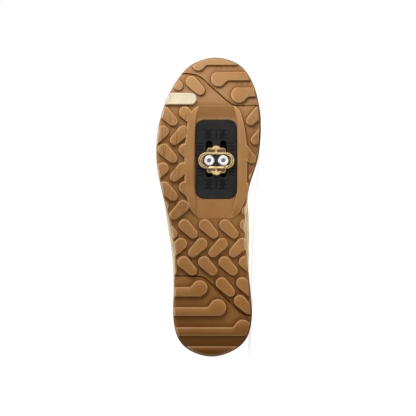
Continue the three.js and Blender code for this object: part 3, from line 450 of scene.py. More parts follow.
def makeGumRubber():
    look = gumRubber
    material, tree, shader = newMaterial("moulded gum rubber", {
        "Roughness": look["roughness"], "IOR": 1.5, "Specular IOR Level": look["specular"],
        "Subsurface Weight": 0.06, "Subsurface Radius": (1.0, 0.45, 0.2), "Subsurface Scale": 0.002})
    place = addNode(tree, "ShaderNodeTexCoord").outputs["Object"]
    patch = addNode(tree, "ShaderNodeTexNoise", {"Scale": 1000 / look["patchMm"], "Detail": 3.0},
                    {"Vector": place}).outputs["Fac"]
    grain = addNode(tree, "ShaderNodeTexNoise", {"Scale": 1000 / look["grainMm"], "Detail": 2.0},
                    {"Vector": place}).outputs["Fac"]
    scuffPlace = addNode(tree, "ShaderNodeMapping", {"Scale": (0.12, 1.0, 1.0)}, {"Vector": place}).outputs["Vector"]
    scuff = addNode(tree, "ShaderNodeTexNoise", {"Scale": 1000 / look["scuffMm"], "Detail": 4.0, "Roughness": 0.7},
                    {"Vector": scuffPlace}).outputs["Fac"]
    # Painted light: the colour runs from darker at the heel to lighter at the toe, as if lit from the toe
    along = addNode(tree, "ShaderNodeSeparateXYZ", {}, {"Vector": place}).outputs["X"]
    paintedToeLight = mixColours(tree, srgb(look["base"]), srgb(look["toe"]), spread(tree, along, -0.13, 0.13))
    cloudy = mixColours(tree, paintedToeLight, srgb(look["patch"]), spread(tree, patch, 0.42, 0.7, 0, 0.5))
    colour = mixColours(tree, cloudy, srgb(look["dust"]), spread(tree, scuff, 0.6, 0.78, 0, 0.3))
    # The attribute "hollow" darkens the colour: painted shade beside the lugs, in the grooves and toward the heel
    hollow = addNode(tree, "ShaderNodeAttribute", {"attribute_name": "hollow"}).outputs["Fac"]
    colour = mixColours(tree, colour, srgb(look["hollow"]), spread(tree, hollow, 0, 1, 0, 0.9))
    # The attribute "edge" lightens the colour: a painted highlight on the lugs' rims
    edge = addNode(tree, "ShaderNodeAttribute", {"attribute_name": "edge"}).outputs["Fac"]
    colour = mixColours(tree, colour, srgb(look["edge"]), spread(tree, edge, 0, 1, 0, 0.95))
    dragPlace = addNode(tree, "ShaderNodeMapping", {"Scale": (0.075, 0.4, 1.0)}, {"Vector": place}).outputs["Vector"]
    drag = addNode(tree, "ShaderNodeTexNoise", {"Scale": 1000 / look["dragMm"], "Detail": 1.0},
                   {"Vector": dragPlace}).outputs["Fac"]
    worn = addNode(tree, "ShaderNodeAttribute", {"attribute_name": "worn"}).outputs["Fac"]
    lines = addNode(tree, "ShaderNodeMath", {"operation": "MULTIPLY"})
    tree.links.new(spread(tree, drag, 0.55, 0.64), lines.inputs[0])
    tree.links.new(worn, lines.inputs[1])
    colour = mixColours(tree, colour, srgb(look["drag"]), spread(tree, lines.outputs[0], 0, 1, 0, 0.65))
    tree.links.new(colour, shader.inputs["Base Color"])
    tree.links.new(spread(tree, scuff, 0.4, 0.7, look["roughness"] - 0.05, look["roughness"] + 0.14),
                   shader.inputs["Roughness"])
    bump = addNode(tree, "ShaderNodeBump", {"Strength": look["bump"], "Distance": 0.0003}, {"Height": grain})
    tree.links.new(bump.outputs["Normal"], shader.inputs["Normal"])
    return material


gum = makeGumRubber()

# Glass-filled nylon, injection moulded: near black, an even fine spark texture, dull shine; the scale marks' grooves
# are painted darker as shade
blackNylon = {"base": "#191919", "worn": "#232322", "hollow": "#030303", "roughness": 0.5, "specular": 0.2,
              "sparkMm": 0.35}


def makeBlackNylon():
    look = blackNylon
    material, tree, shader = newMaterial("glass-filled nylon", {
        "Roughness": look["roughness"], "IOR": 1.53, "Specular IOR Level": look["specular"]})
    place = addNode(tree, "ShaderNodeTexCoord").outputs["Object"]
    spark = addNode(tree, "ShaderNodeTexVoronoi", {"Scale": 1000 / look["sparkMm"]}, {"Vector": place})
    cloud = addNode(tree, "ShaderNodeTexNoise", {"Scale": 60.0, "Detail": 4.0}, {"Vector": place}).outputs["Fac"]
    colour = mixColours(tree, srgb(look["base"]), srgb(look["worn"]), spread(tree, cloud, 0.45, 0.7))
    hollow = addNode(tree, "ShaderNodeAttribute", {"attribute_name": "hollow"}).outputs["Fac"]
    colour = mixColours(tree, colour, srgb(look["hollow"]), spread(tree, hollow, 0, 1))
    tree.links.new(colour, shader.inputs["Base Color"])
    bump = addNode(tree, "ShaderNodeBump", {"Strength": 0.12, "Distance": 0.0002},
                   {"Height": spark.outputs["Distance"]})
    tree.links.new(bump.outputs["Normal"], shader.inputs["Normal"])
    return material


nylon = makeBlackNylon()
# The bottom of the plate's slots: painted black as shade, out of the light
shadeBlack = newMaterial("painted shade black", {
    "Base Color": srgb("#050505"), "Roughness": 0.9, "Specular IOR Level": 0.1})[0]


# Outsole. Heights are in shares of the lug depth at distances inside each lug's edge.
outsole = {
    "wallAt": [-1.1, -0.75, -0.4, -0.1, 0.2, 0.55, 1.0, 1.45],
    "wallHigh": [0, 0, 0.05, 0.26, 0.7, 0.88, 0.97, 1],
    "rampAt": [-1, -0.55, -0.1, 0.25], "rampHigh": [0.18, 0.6, 0.94, 1], "rampSpacing": 1.1,
    "flank": (0.5, 2.0), "edge": (0.5, 1.3), "edgeRise": 0.9,
    "side": 3.4, "rimInset": 1, "rim": 0.8, "ramp": 4.2,
    "lugBig": 6.1, "lugSmall": 4.8, "lugReach": 12.3, "lugPitch": 20.2,
    "around": 620, "spacing": 0.95, "grid": 0.5, "filler": 3.4,
    "hollowMm": 1.9, "rimAt": 0.7, "highlightRimMm": 0.48, "frontShade": 0.5, "heelShade": 0.8, "heelBy": 46,
}
# The herringbone's rows: place along, most lateral big end, how many, side of the small ends (-1 is medial)
lugRows = [
    (0.815, -0.463, 2, -1), (0.751, -0.477, 2, 1), (0.691, -0.466, 2, -1), (0.629, -0.478, 2, 1),
    (0.565, -0.463, 2, -1), (0.503, -0.478, 2, 1), (0.4395, -0.466, 5, -1), (0.377, -0.304, 4, 1),
    (0.3165, -0.474, 5, -1),
]
oddLugs = [
    (0.8167, 0.442, 1), (0.7523, 0.486, 1), (0.69, 0.288, -1), (0.6867, 0.486, -1), (0.628, 0.466, 1),
    (0.565, 0.29, -1), (0.5157, 0.4, 1), (0.246, 0.083, -1), (0.2467, 0.276, -1), (0.1873, 0.257, -1),
    (0.918, -0.205, -1), (0.934, -0.413, -1),
]
# Bars: side that the strip runs to (1 is medial), knob along, knob across, its radius, step past it, strip
bars = [
    (1, 0.9747, -0.138, 6.2, 3.3, 10), (1, 0.9266, 0.052, 7.6, 0, 9.1), (1, 0.8734, 0.247, 8, 0, 9.8),
    (-1, 0.23, -0.126, 7.8, 0.7, 9.6), (-1, 0.165, 0.045, 8.4, 0, 8.8), (-1, 0.0976, 0.283, 8.2, 0, 8.8),
]
heelBar, barFillet = 10.6, 3
toeGroove = [(0.944, -0.58), (0.944, -0.38), (0.944, -0.22), (0.9327, -0.12), (0.905, -0.03), (0.877, 0.06),
             (0.85, 0.15), (0.8385, 0.22), (0.8375, 0.38), (0.8364, 0.58)]
heelGroove = [(0.2707, -0.58), (0.27, -0.36), (0.2693, -0.16), (0.2593, -0.067), (0.225, 0.035), (0.19, 0.139),
              (0.1562, 0.24), (0.1418, 0.31), (0.139, 0.42), (0.138, 0.58)]
groove = {"width": 1.2, "depth": 2.2, "at": [-0.7, -0.25, 0.1, 0.4], "deep": [0, 0.06, 0.45, 1]}
grooveShares = np.linspace(0, 1, 61)
grooveLines = [spline([(x * soleLength, y * ballWidth) for x, y in line])(grooveShares)
               for line in (toeGroove, heelGroove)]
rails = {
    "at": [0.465, 0.48, 0.5, 0.54, 0.597, 0.69, 0.74, 0.79, 0.823, 0.838],
    "medial": [0.195, 0.25, 0.283, 0.314, 0.327, 0.327, 0.314, 0.288, 0.254, 0.205],
    "lateral": [0.14, 0.195, 0.228, 0.253, 0.274, 0.272, 0.257, 0.24, 0.197, 0.138],
    "crest": [0, 0.5, 0.9, 1, 1, 1, 1, 0.95, 0.35, 0],
}
channel = {
    "at": [0.463, 0.528, 0.573, 0.64, 0.723, 0.795, 0.839],
    "medial": [0.171, 0.214, 0.232, 0.234, 0.234, 0.227, 0.2],
    "lateral": [0.131, 0.167, 0.179, 0.181, 0.175, 0.16, 0.138],
    "floor": [-0.02, 1, 1, 1, 1, 1, -0.02],
    "wallAt": [-0.75, -0.4, -0.05, 0.3, 0.6], "wallDeep": [0, 0.05, 0.3, 0.9, 1],
}
plate = {
    "at": 0.659 * soleLength, "out": 0.031 * ballWidth, "length": 78.2, "width": 41, "corner": 8.5, "recess": 2.8,
    "slotLength": 36.2, "slotWidth": 6.5, "spacing": 14,
}
plateFace = float(treadHeight(plate["at"])) + plate["recess"]
plateThick = sole["rubber"] - plate["recess"] - 2 * gap
tab = {"at": 0.861 * soleLength, "out": -0.154 * ballWidth, "width": 11.9, "depth": 2.6}


def bandLoop(rows):  # the plan of rails or channel, smooth along both sides
    at = np.linspace(rows["at"][0], rows["at"][-1], 60)
    medial = column(rows["at"], rows["medial"])(at) * ballWidth
    lateral = -column(rows["at"], rows["lateral"])(at) * ballWidth
    x = at * soleLength
    return np.concatenate([np.stack([x, medial], 1), np.stack([x, lateral], 1)[::-1]])


railLoop, channelLoop = bandLoop(rails), bandLoop(channel)
soleShares = np.arange(outsole["around"]) / outsole["around"]
outlineLoop = outlineLine(soleShares)[:, :2]
railCrest = column(rails["at"], rails["crest"])


def lugPlaces():
    for at, out, count, lean in lugRows:
        for k in range(count):
            yield at * soleLength, out * ballWidth + k * outsole["lugPitch"], lean
    for at, out, lean in oddLugs:
        yield at * soleLength, out * ballWidth, lean


def insideLug(x, y, bigX, bigY, lean):
    step = outsole["lugReach"] / math.sqrt(2)
    return insidePill(x, y, (bigX, bigY), outsole["lugBig"], (bigX - step, bigY - lean * step), outsole["lugSmall"])


def insideBar(x, y, side, at, out, knob, over, strip):
    knobX, knobY, hook = at * soleLength, out * ballWidth, -side
    flat = knobX - hook * (knob + over)
    toFlat = hook * (x - flat)
    straight = np.minimum(np.minimum(toFlat, strip - toFlat), side * (y - knobY))
    whole = roundJoin(straight, insideDisc(x, y, knobX, knobY, knob), barFillet)
    return np.minimum(whole, toFlat)


def insideStadium(x, y, centreX, centreY, alongX, alongY):
    return insideBox(x, y, centreX, centreY, alongX, alongY, min(alongX, alongY) / 2 - 1e-6)


def insideTab(x, y, grow=0.0):
    reach = ballWidth + 2 * grow
    return insideStadium(x, y, tab["at"], tab["out"] - ballWidth / 2, tab["width"] + 2 * grow, reach)


def soleFields(x, y):
    inset = insideLoop(x, y, outlineLoop)
    low, high = outsole["flank"]
    reached = np.clip((inset - low) / (high - low), 0, 1)
    flank = np.interp(reached, outsole["wallHigh"][1:-1], outsole["wallAt"][1:-1])
    flank = np.where(inset < low + 0.02, outsole["wallAt"][0] - 0.5, flank)
    flank = np.where(inset > high, inset - high + outsole["wallAt"][-2], flank)
    intoChannel = insideLoop(x, y, channelLoop)
    lugs = np.full(np.shape(x), -99.0)
    for bigX, bigY, lean in lugPlaces():
        lugs = np.maximum(lugs, insideLug(x, y, bigX, bigY, lean))
    ramp = outsole["ramp"]  # each bar slopes on the side that faces the toe
    bar = np.maximum.reduce([insideBar(x, y, *one) for one in bars] + [heelBar - x])
    slope = np.maximum.reduce([insideBar(x + ramp, y, *one) for one in bars] + [heelBar - ramp - x])
    slope = np.where(bar > lugs, slope / ramp, 9.0)
    lugs = np.minimum(np.minimum(np.maximum(lugs, bar), flank), -intoChannel - 0.3)
    rail = np.minimum(insideLoop(x, y, railLoop), 0.8 - intoChannel)
    grooves = [lineDistance(x, y, line) for line in grooveLines]
    return {
        "inset": inset, "lugs": lugs, "rail": rail, "channel": intoChannel, "slope": slope,
        "groove": groove["width"] / 2 - np.minimum(*grooves),
        "pocket": insideBox(x, y, plate["at"], plate["out"], plate["length"] + 2 * gap, plate["width"] + 2 * gap,
                            plate["corner"] + gap),
        "seat": insideTab(x, y, gap),
    }


def soleHeight(x, y):
    field = soleFields(x, y)
    ground = treadHeight(x)
    low, high = outsole["edge"]
    edge = np.clip((high - field["inset"]) / (high - low), 0, 1)
    wall = np.interp(field["lugs"], outsole["wallAt"], outsole["wallHigh"])
    wall = np.minimum(wall, np.interp(field["slope"], outsole["rampAt"], outsole["rampHigh"]))
    rail = railCrest(x / soleLength) * np.interp(field["rail"], outsole["wallAt"], outsole["wallHigh"])
    rail = np.where((x < rails["at"][0] * soleLength) | (x > rails["at"][-1] * soleLength), 0, rail)
    cut = np.interp(field["groove"], groove["at"], groove["deep"])
    z = ground + outsole["edgeRise"] * edge ** 2 - sole["lugDepth"] * np.maximum(wall, rail) * (1 - cut)
    z = z + groove["depth"] * cut
    floor = ground + (plateFace - gap - ground) * column(channel["at"], channel["floor"])(x / soleLength)
    sunk = np.interp(field["channel"], channel["wallAt"], channel["wallDeep"])
    z = z * (1 - sunk) + floor * sunk
    z = z + (plateFace + plateThick + gap - z) * np.interp(field["pocket"], [0, 0.3], [0, 1])
    return z + (ground + tab["depth"] + gap - z) * np.interp(field["seat"], [0, 0.3], [0, 1])


def makeOutsole():
    size = outsole
    gridX = np.arange(-1, soleLength + 1, size["grid"])
    gridY = np.arange(-60, 52, size["grid"])
    meshX, meshY = np.meshgrid(gridX, gridY, indexing="ij")
    field = soleFields(meshX, meshY)
    boundary = ring(soleShares, -size["flank"][0], treadHeight)[:, :2]
    lines = [boundary]
    wanted = [("lugs", size["wallAt"]), ("rail", size["wallAt"]), ("channel", channel["wallAt"]),
              ("groove", groove["at"]), ("pocket", [0, 0.3]), ("seat", [0, 0.3])]
    limit = field["inset"] - size["flank"][0] - 0.25
    for name, levels in wanted:
        for level in levels:
            lines += levelLines(np.minimum(field[name] - level, limit), gridX, gridY, 0, size["spacing"])
    x, y = hexPoints(0, soleLength, -60, 52, size["filler"])
    near = soleFields(x, y)
    loose = (near["inset"] > 2.6) & (np.abs(near["groove"]) > 1.2)
    for name in ("lugs", "rail", "channel", "pocket", "seat"):
        loose &= np.abs(near[name]) > 1.9
    loosePoints = list(zip(x[loose], y[loose]))
    x, y = hexPoints(0, soleLength, -60, 52, size["rampSpacing"])
    near = soleFields(x, y)
    sloped = (near["slope"] < 0.35) & (near["lugs"] > size["wallAt"][-1] + 0.4) & (np.abs(near["groove"]) > 1.2)
    loosePoints += list(zip(x[sloped], y[sloped]))
    for inset in (1.45, 2.0):
        loosePoints += [tuple(p) for p in ring(soleShares[::2], -inset, treadHeight)[:, :2]]
    plan, faces, marks = linedSheet(lines, loosePoints, lambda x, y: insideLoop(x, y, boundary))
    points = np.concatenate([plan, soleHeight(plan[:, 0], plan[:, 1])[:, None]], 1)
    onEdge = {mark[1]: k for k, mark in enumerate(marks) if mark[0] == 0}
    first = [onEdge[k] for k in range(size["around"])]
    sides = [
        (-0.25, lambda x: treadHeight(x) + 1.5), (-0.05, lambda x: treadHeight(x) + 2.4),
        (0, lambda x: treadHeight(x) + size["side"]), (0, lambda x: rubberTop(x) - size["rim"] - 0.3),
        (-0.25, lambda x: rubberTop(x) - size["rim"] + 0.25), (-size["rimInset"], rubberTop),
    ]
    faces = flipped(faces)
    below = first
    for offset, height in sides:
        start = len(points)
        points = np.concatenate([points, ring(soleShares, offset, height)])
        above = list(range(start, start + size["around"]))
        for i in range(size["around"]):
            j = (i + 1) % size["around"]
            faces.append((below[i], above[i], above[j], below[j]))
        below = above
    faces += flipped(stripCap(size["around"], below[0]))
    piece = newPiece("moulded_outsole", points, faces, gum, ["outsole"], sharp=50)
    piece.data.materials.append(shadeBlack)
    field = soleFields(points[:, 0], points[:, 1])
    front = np.arange(len(points)) < len(plan)
    # Painted shade, carried by the attribute "hollow": darker beside the lugs and rails, in the grooves, on the
    # channel's front slope and toward the heel end
    raised = np.maximum(field["lugs"], field["rail"])
    along = points[:, 0] / soleLength
    towardHeel = 1 - smooth(along, 0.2, 0.42)
    paintedShade = np.exp(-np.maximum(-raised - 0.2, 0) / (size["hollowMm"] * (1 + towardHeel))) * (raised < 0.1)
    paintedShade *= 0.72 + 0.28 * towardHeel
    paintedShade *= smooth(field["inset"], 1.2, 3) * (1 - smooth(field["channel"], -0.5, 0.5))
    paintedShade = np.maximum(paintedShade, smooth(field["groove"], -0.3, 0.3)) * front
    shade = smooth(along, channel["at"][-2] - 0.01, channel["at"][-2] + 0.01) * smooth(field["channel"], 0, 1)
    shade *= front * (1 - smooth(along, channel["at"][-1] - 0.004, channel["at"][-1] + 0.001))
    paintedShade = np.maximum(paintedShade, size["frontShade"] * shade)
    paintedShade = np.maximum(paintedShade, size["heelShade"] * (1 - smooth(points[:, 0], 1, size["heelBy"])) * front)
    # Painted highlight, carried by the attribute "edge": a lighter band along each lug's top rim
    rim = np.exp(-((raised - size["rimAt"]) / size["highlightRimMm"]) ** 2) * front * (field["channel"] < 0.2)
    top = smooth(field["lugs"], 0.6, 0.9) * smooth(points[:, 0] / soleLength, 0.42, 0.5) * front
    top *= (1 - smooth(points[:, 0] / soleLength, 0.8, 0.84)) * (1 - smooth(field["rail"], -0.5, 0.1))
    for name, value in (("hollow", paintedShade), ("edge", rim), ("worn", top)):
        giveShare(piece, name, value)
    middle = np.array([points[list(face)].mean(0) for face in faces])
    # The pocket's bed, seen through the slots, takes the near-black material: painted shade
    bed = (field["pocket"][[face[0] for face in faces]] > 0.1) & (middle[:, 2] > plateFace + 1)
    bed &= middle[:, 2] < plateFace + plateThick + 2 * gap
    piece.data.polygons.foreach_set("material_index", bed.astype(int))
    return piece


outsolePiece = makeOutsole()
print("outsole", len(outsolePiece.data.polygons))

# Small flat pieces: a sheet cut to a plan shape, its face drawn by a height, closed by a flat back
def cutPiece(name, field, box, grid, edgeLevels, others, face, back, material, nodes, spacing=0.6, filler=2.5,
             faceUp=False, sharp=40):
    gridX, gridY = np.arange(box[0], box[1], grid), np.arange(box[2], box[3], grid)
    meshX, meshY = np.meshgrid(gridX, gridY, indexing="ij")
    whole = field(meshX, meshY)
    lines = []
    for level in edgeLevels:
        lines += levelLines(whole, gridX, gridY, level, spacing)
    x, y = hexPoints(*box, filler)
    loose = field(x, y) > edgeLevels[-1] + filler / 3
    for other, levels in others:
        relief = other(meshX, meshY)
        for level in levels:
            lines += levelLines(np.minimum(relief - level, whole - edgeLevels[-1] - 0.05), gridX, gridY, 0, spacing)
        loose &= np.abs(other(x, y)) > filler / 3
    plan, faces, _ = linedSheet(lines, list(zip(x[loose], y[loose])), lambda x, y: field(x, y) - edgeLevels[0])
    height = face(plan[:, 0], plan[:, 1])
    count = len(plan)
    points = np.concatenate([np.column_stack([plan, height]), np.column_stack([plan, back(plan[:, 0])])])
    down, up = [tuple(f) for f in flipped(faces)], [tuple(int(v) + count for v in f) for f in faces]
    edges = {}
    for a, b, c in down:
        for edge in ((a, b), (b, c), (c, a)):
            edges[edge] = True
    walls = [(b, a, a + count, b + count) for a, b in edges if (b, a) not in edges]
    whole = down + up + walls
    return newPiece(name, points, flipped(whole) if faceUp else whole, material, nodes, sharp)


# Cream rubber, the same moulding as the sole in a pale colour: satin, with a soft rim
creamRubber = {"base": "#cfc2a5", "shade": "#c6b796", "roughness": 0.5, "patchMm": 14, "grainMm": 0.5}


def makeCreamRubber():
    look = creamRubber
    material, tree, shader = newMaterial("cream moulded rubber", {"Roughness": look["roughness"], "IOR": 1.5})
    place = addNode(tree, "ShaderNodeTexCoord").outputs["Object"]
    patch = addNode(tree, "ShaderNodeTexNoise", {"Scale": 1000 / look["patchMm"], "Detail": 3.0},
                    {"Vector": place}).outputs["Fac"]
    grain = addNode(tree, "ShaderNodeTexNoise", {"Scale": 1000 / look["grainMm"], "Detail": 2.0},
                    {"Vector": place}).outputs["Fac"]
    colour = mixColours(tree, srgb(look["base"]), srgb(look["shade"]), spread(tree, patch, 0.4, 0.66))
    tree.links.new(colour, shader.inputs["Base Color"])
    bump = addNode(tree, "ShaderNodeBump", {"Strength": 0.08, "Distance": 0.0003}, {"Height": grain})
    tree.links.new(bump.outputs["Normal"], shader.inputs["Normal"])
    return material


tabLook = {"edge": [0, 0.25, 0.6, 1.1], "drop": [1.3, 0.45, 0.1, 0], "rimAt": [1.5, 2.1, 2.8], "hollow": 0.3}


def makeTab():
    def shape(x, y):
        return np.minimum(insideTab(x, y), (insideLoop(x, y, outlineLoop) - outsole["flank"][0]) * 0.9)

    def face(x, y):
        inside = shape(x, y)
        inset = insideLoop(x, y, outlineLoop)
        low, high = outsole["flank"]
        flank = sole["lugDepth"] * (1 - np.clip((inset - low) / (high - low), 0, 1) ** 0.8)
        drop = np.interp(inside, tabLook["edge"], tabLook["drop"])
        hollow = tabLook["hollow"] * smooth(inside, tabLook["rimAt"][0], tabLook["rimAt"][-1])
        return treadHeight(x) - sole["lugDepth"] + np.maximum(drop, flank) + hollow

    box = (tab["at"] - 9, tab["at"] + 9, -60, tab["out"] + 2)
    return cutPiece("moulded_tab", shape, box, 0.25, tabLook["edge"], [(shape, tabLook["rimAt"])], face,
                    lambda x: treadHeight(x) + tab["depth"], makeCreamRubber(), ["side_tab"])


tabPiece = makeTab()
print("tab", len(tabPiece.data.polygons))

ticks = {
    "width": 0.75, "depth": 0.4, "edge": [-0.15, 0.2], "ladder": [20.6, 22, 23.4, 24.8, 26.2, 27.6, 29],
    "long": 9.4, "short": 5.2, "middle": (18.5, 29.5), "rib": [9.3, 12.5, 15.7], "ribFrom": 11.6, "ribTo": 19,
}


def insideSlots(x, y):
    gaps = [insideStadium(x, y, plate["at"] + 0.3, plate["out"] + side * plate["spacing"] / 2, plate["slotLength"],
                          plate["slotWidth"]) for side in (-1, 1)]
    return np.maximum(*gaps)


def insideTicks(x, y):  # plain scale marks past the slots' ends and beside them
    found = np.full(np.shape(x), -99.0)
    for end in (-1, 1):
        for side in (-1, 1):
            across = plate["out"] + side * plate["spacing"] / 2
            for k, along in enumerate(ticks["ladder"]):
                length = ticks["short"] if k % 3 else ticks["long"]
                found = np.maximum(found, insideBox(x, y, plate["at"] + end * along, across, ticks["width"], length, 0.2))
            middle = plate["out"] + side * (ticks["ribFrom"] + ticks["ribTo"]) / 2
            for along in ticks["rib"]:
                found = np.maximum(found, insideBox(x, y, plate["at"] + end * along, middle, ticks["width"],
                                                    ticks["ribTo"] - ticks["ribFrom"], 0.2))
        low, high = ticks["middle"]
        found = np.maximum(found, insideBox(x, y, plate["at"] + end * (low + high) / 2, plate["out"], high - low,
                                            ticks["width"], 0.2))
    return found


def makePlate():
    def shape(x, y):
        whole = insideBox(x, y, plate["at"], plate["out"], plate["length"], plate["width"], plate["corner"])
        return np.minimum(whole, -insideSlots(x, y))

    def face(x, y):
        drop = np.interp(shape(x, y), [0, 0.2, 0.6], [0.5, 0.12, 0])
        return plateFace + drop + ticks["depth"] * np.interp(insideTicks(x, y), ticks["edge"], [0, 1])

    half, wide = plate["length"] / 2 + 1, plate["width"] / 2 + 1
    box = (plate["at"] - half, plate["at"] + half, plate["out"] - wide, plate["out"] + wide)
    piece = cutPiece("cleat_bed_plate", shape, box, 0.2, [0, 0.2, 0.6, 0.8], [(insideTicks, ticks["edge"])], face,
                     lambda x: plateFace + plateThick + 0 * x, nylon, ["cleat_plate"], 0.7)
    points = standingPoints(piece)
    # The scale marks' grooves are darkened through "hollow": painted shade
    giveShare(piece, "hollow", smooth(insideTicks(points[:, 0], points[:, 1]), *ticks["edge"]))
    return piece


platePiece = makePlate()
print("plate", len(platePiece.data.polygons))

# Cast brass, tumbled and lightly blasted: warm gold, soft edges; its grooves, flutes and the ears' low faces are
# painted dark as shade
castBrass = {"base": "#e6c791", "dull": "#c9a468", "hollow": "#2c200c", "roughness": 0.34, "grainMm": 0.6}
# Turned steel, bright zinc plated: nearly white, fine rings from the lathe; the hex sockets are painted darker as shade
turnedSteel = {"base": "#ececee", "hollow": "#5a5a5c", "roughness": 0.32, "ringMm": 0.8}
# Blackened steel: dark, matt, a little oily
darkSteel = {"base": "#3b3a38", "roughness": 0.45}


def makeMetal(name, look, noiseMm):
    material, tree, shader = newMaterial(name, {"Metallic": 1.0, "Roughness": look["roughness"]})
    place = addNode(tree, "ShaderNodeTexCoord").outputs["Object"]
    grain = addNode(tree, "ShaderNodeTexNoise", {"Scale": 1000 / noiseMm, "Detail": 3.0}, {"Vector": place}).outputs["Fac"]
    stain = addNode(tree, "ShaderNodeTexNoise", {"Scale": 180.0, "Detail": 3.0}, {"Vector": place}).outputs["Fac"]
    dull = look.get("dull", look["base"])
    colour = mixColours(tree, srgb(look["base"]), srgb(dull), spread(tree, stain, 0.45, 0.75))
    # The attribute "hollow" darkens recesses: painted shade
    if "hollow" in look:
        hollow = addNode(tree, "ShaderNodeAttribute", {"attribute_name": "hollow"}).outputs["Fac"]
        colour = mixColours(tree, colour, srgb(look["hollow"]), spread(tree, hollow, 0, 1, 0, 0.9))
    tree.links.new(colour, shader.inputs["Base Color"])
    tree.links.new(spread(tree, stain, 0.35, 0.7, look["roughness"] - 0.05, look["roughness"] + 0.12),
                   shader.inputs["Roughness"])
    bump = addNode(tree, "ShaderNodeBump", {"Strength": 0.03, "Distance": 0.0001}, {"Height": grain})
    tree.links.new(bump.outputs["Normal"], shader.inputs["Normal"])
    return material


brass = makeMetal("cast brass", castBrass, castBrass["grainMm"])
steel = makeMetal("zinc plated steel", turnedSteel, turnedSteel["ringMm"])
blackened = makeMetal("blackened steel", darkSteel, 0.5)
cleat = {
    "at": plate["at"] - 1.2, "length": 36, "width": 16.2, "height": 4.4, "floor": 1.2,
    "wing": 5.7, "wingReach": 9, "wingFrom": 10.6, "postAt": 9.6, "postLong": 4, "postWide": 1.8,
    "wingHeight": 3.2, "earAlong": 25, "earAcross": 19, "earHeight": 1.8,
    "earCorner": 2.4,
    "pocketLength": 27, "pocketWidth": 12, "shank": 5.6, "flutePitch": 1.5, "fluteDepth": 0.5,
    "edge": [0, 0.18, 0.45, 0.8], "drop": [0.55, 0.25, 0.06, 0],
}
cleatTop = plateFace - gap
pocketFloor = cleatTop - cleat["floor"]
boltAt = [plate["out"] + side * plate["spacing"] / 2 for side in (-1, 1)]


def insideCleatBody(x, y):
    return insideStadium(x, y, cleat["at"], plate["out"], cleat["width"], cleat["length"])


def insideWings(x, y):  # a half disc past each ear, with a narrow post back to the ring
    found = np.full(np.shape(x), -99.0)
    for end in (-1, 1):
        disc = insideDisc(x, y, cleat["at"] + end * cleat["wingReach"], plate["out"], cleat["wing"])
        disc = np.minimum(disc, end * (x - cleat["at"]) - cleat["wingFrom"])
        post = insideBox(x, y, cleat["at"] + end * cleat["postAt"], plate["out"], cleat["postLong"], cleat["postWide"], 0.4)
        found = np.maximum(found, np.maximum(disc, post))
    return found


def insideEars(x, y):
    return insideBox(x, y, cleat["at"], plate["out"], cleat["earAlong"], cleat["earAcross"], cleat["earCorner"])


def insidePocket(x, y):
    return insideStadium(x, y, cleat["at"], plate["out"], cleat["pocketWidth"], cleat["pocketLength"])


def insideHoles(x, y):
    return np.maximum(*[insideDisc(x, y, cleat["at"], out, cleat["shank"] / 2) for out in boltAt])


def insideGroove(x, y):  # two grooves round each end of the ring
    round = insideCleatBody(x, y)
    rings = np.maximum(0.35 - np.abs(round - 1.7), 0.4 - np.abs(round - 3.4))
    return np.minimum(rings, np.abs(y - plate["out"]) - 7.5)


def insideFlutes(x, y):  # upright flutes on the ears, beside the wings
    flutes = 0.3 - np.abs((y - plate["out"]) % cleat["flutePitch"] - cleat["flutePitch"] / 2)
    clear = np.minimum(insideEars(x, y) - 1.1, -np.maximum(insideCleatBody(x, y), insideWings(x, y)) - 0.3)
    return np.minimum(flutes, clear)


def makeCleat():
    def shape(x, y):
        whole = np.maximum(np.maximum(insideCleatBody(x, y), insideWings(x, y)), insideEars(x, y))
        return np.minimum(whole, -insideHoles(x, y))

    def rounded(inside, height):
        return np.where(inside > 0, height - np.interp(inside, cleat["edge"], cleat["drop"]), 0)

    def face(x, y):
        body, wings, ears = insideCleatBody(x, y), insideWings(x, y), insideEars(x, y)
        rise = np.maximum(np.maximum(rounded(body, cleat["height"]), rounded(wings, cleat["wingHeight"])),
                          rounded(ears, cleat["earHeight"]))
        rise = rise - 0.6 * np.interp(insideGroove(x, y), [-0.1, 0.25], [0, 1])
        rise = rise - cleat["fluteDepth"] * np.interp(insideFlutes(x, y), [-0.1, 0.2], [0, 1])
        pocket = np.interp(insidePocket(x, y), [-0.5, -0.15, 0, 0.1], [0, 0.06, 0.3, 1])
        rise = rise * (1 - pocket) + cleat["floor"] * pocket
        return cleatTop - np.maximum(rise, 0.4)

    reach = cleat["length"] / 2 + 2
    box = (cleat["at"] - reach, cleat["at"] + reach, plate["out"] - reach, plate["out"] + reach)
    others = [(insideCleatBody, [-0.05] + cleat["edge"]), (insideWings, [-0.05] + cleat["edge"]),
              (insidePocket, [-0.5, -0.15, 0, 0.1]), (insideGroove, [-0.1, 0.25]), (insideFlutes, [-0.1, 0.2])]
    piece = cutPiece("cast_cleat", shape, box, 0.15, cleat["edge"], others, face, lambda x: cleatTop + 0 * x, brass,
                     ["cleat"], 0.45, 1.8, sharp=10)
    points = standingPoints(piece)
    x, y = points[:, 0], points[:, 1]
    # Painted shade: the ears' low faces beside the ring and wings, the grooves and the flutes are darkened
    low = smooth(insideEars(x, y), 0.55, 0.95) * smooth(-np.maximum(insideCleatBody(x, y), insideWings(x, y)), -0.1, 0.2)
    dark = np.maximum(0.8 * low, smooth(np.maximum(insideGroove(x, y), insideFlutes(x, y)), -0.15, 0.2))
    giveShare(piece, "hollow", dark)
    return piece


cleatPiece = makeCleat()
print("cleat", len(cleatPiece.data.polygons))
washer = {"thickness": 0.8, "edge": [0, 0.15, 0.35], "drop": [0.25, 0.06, 0]}
washerTop = pocketFloor - gap


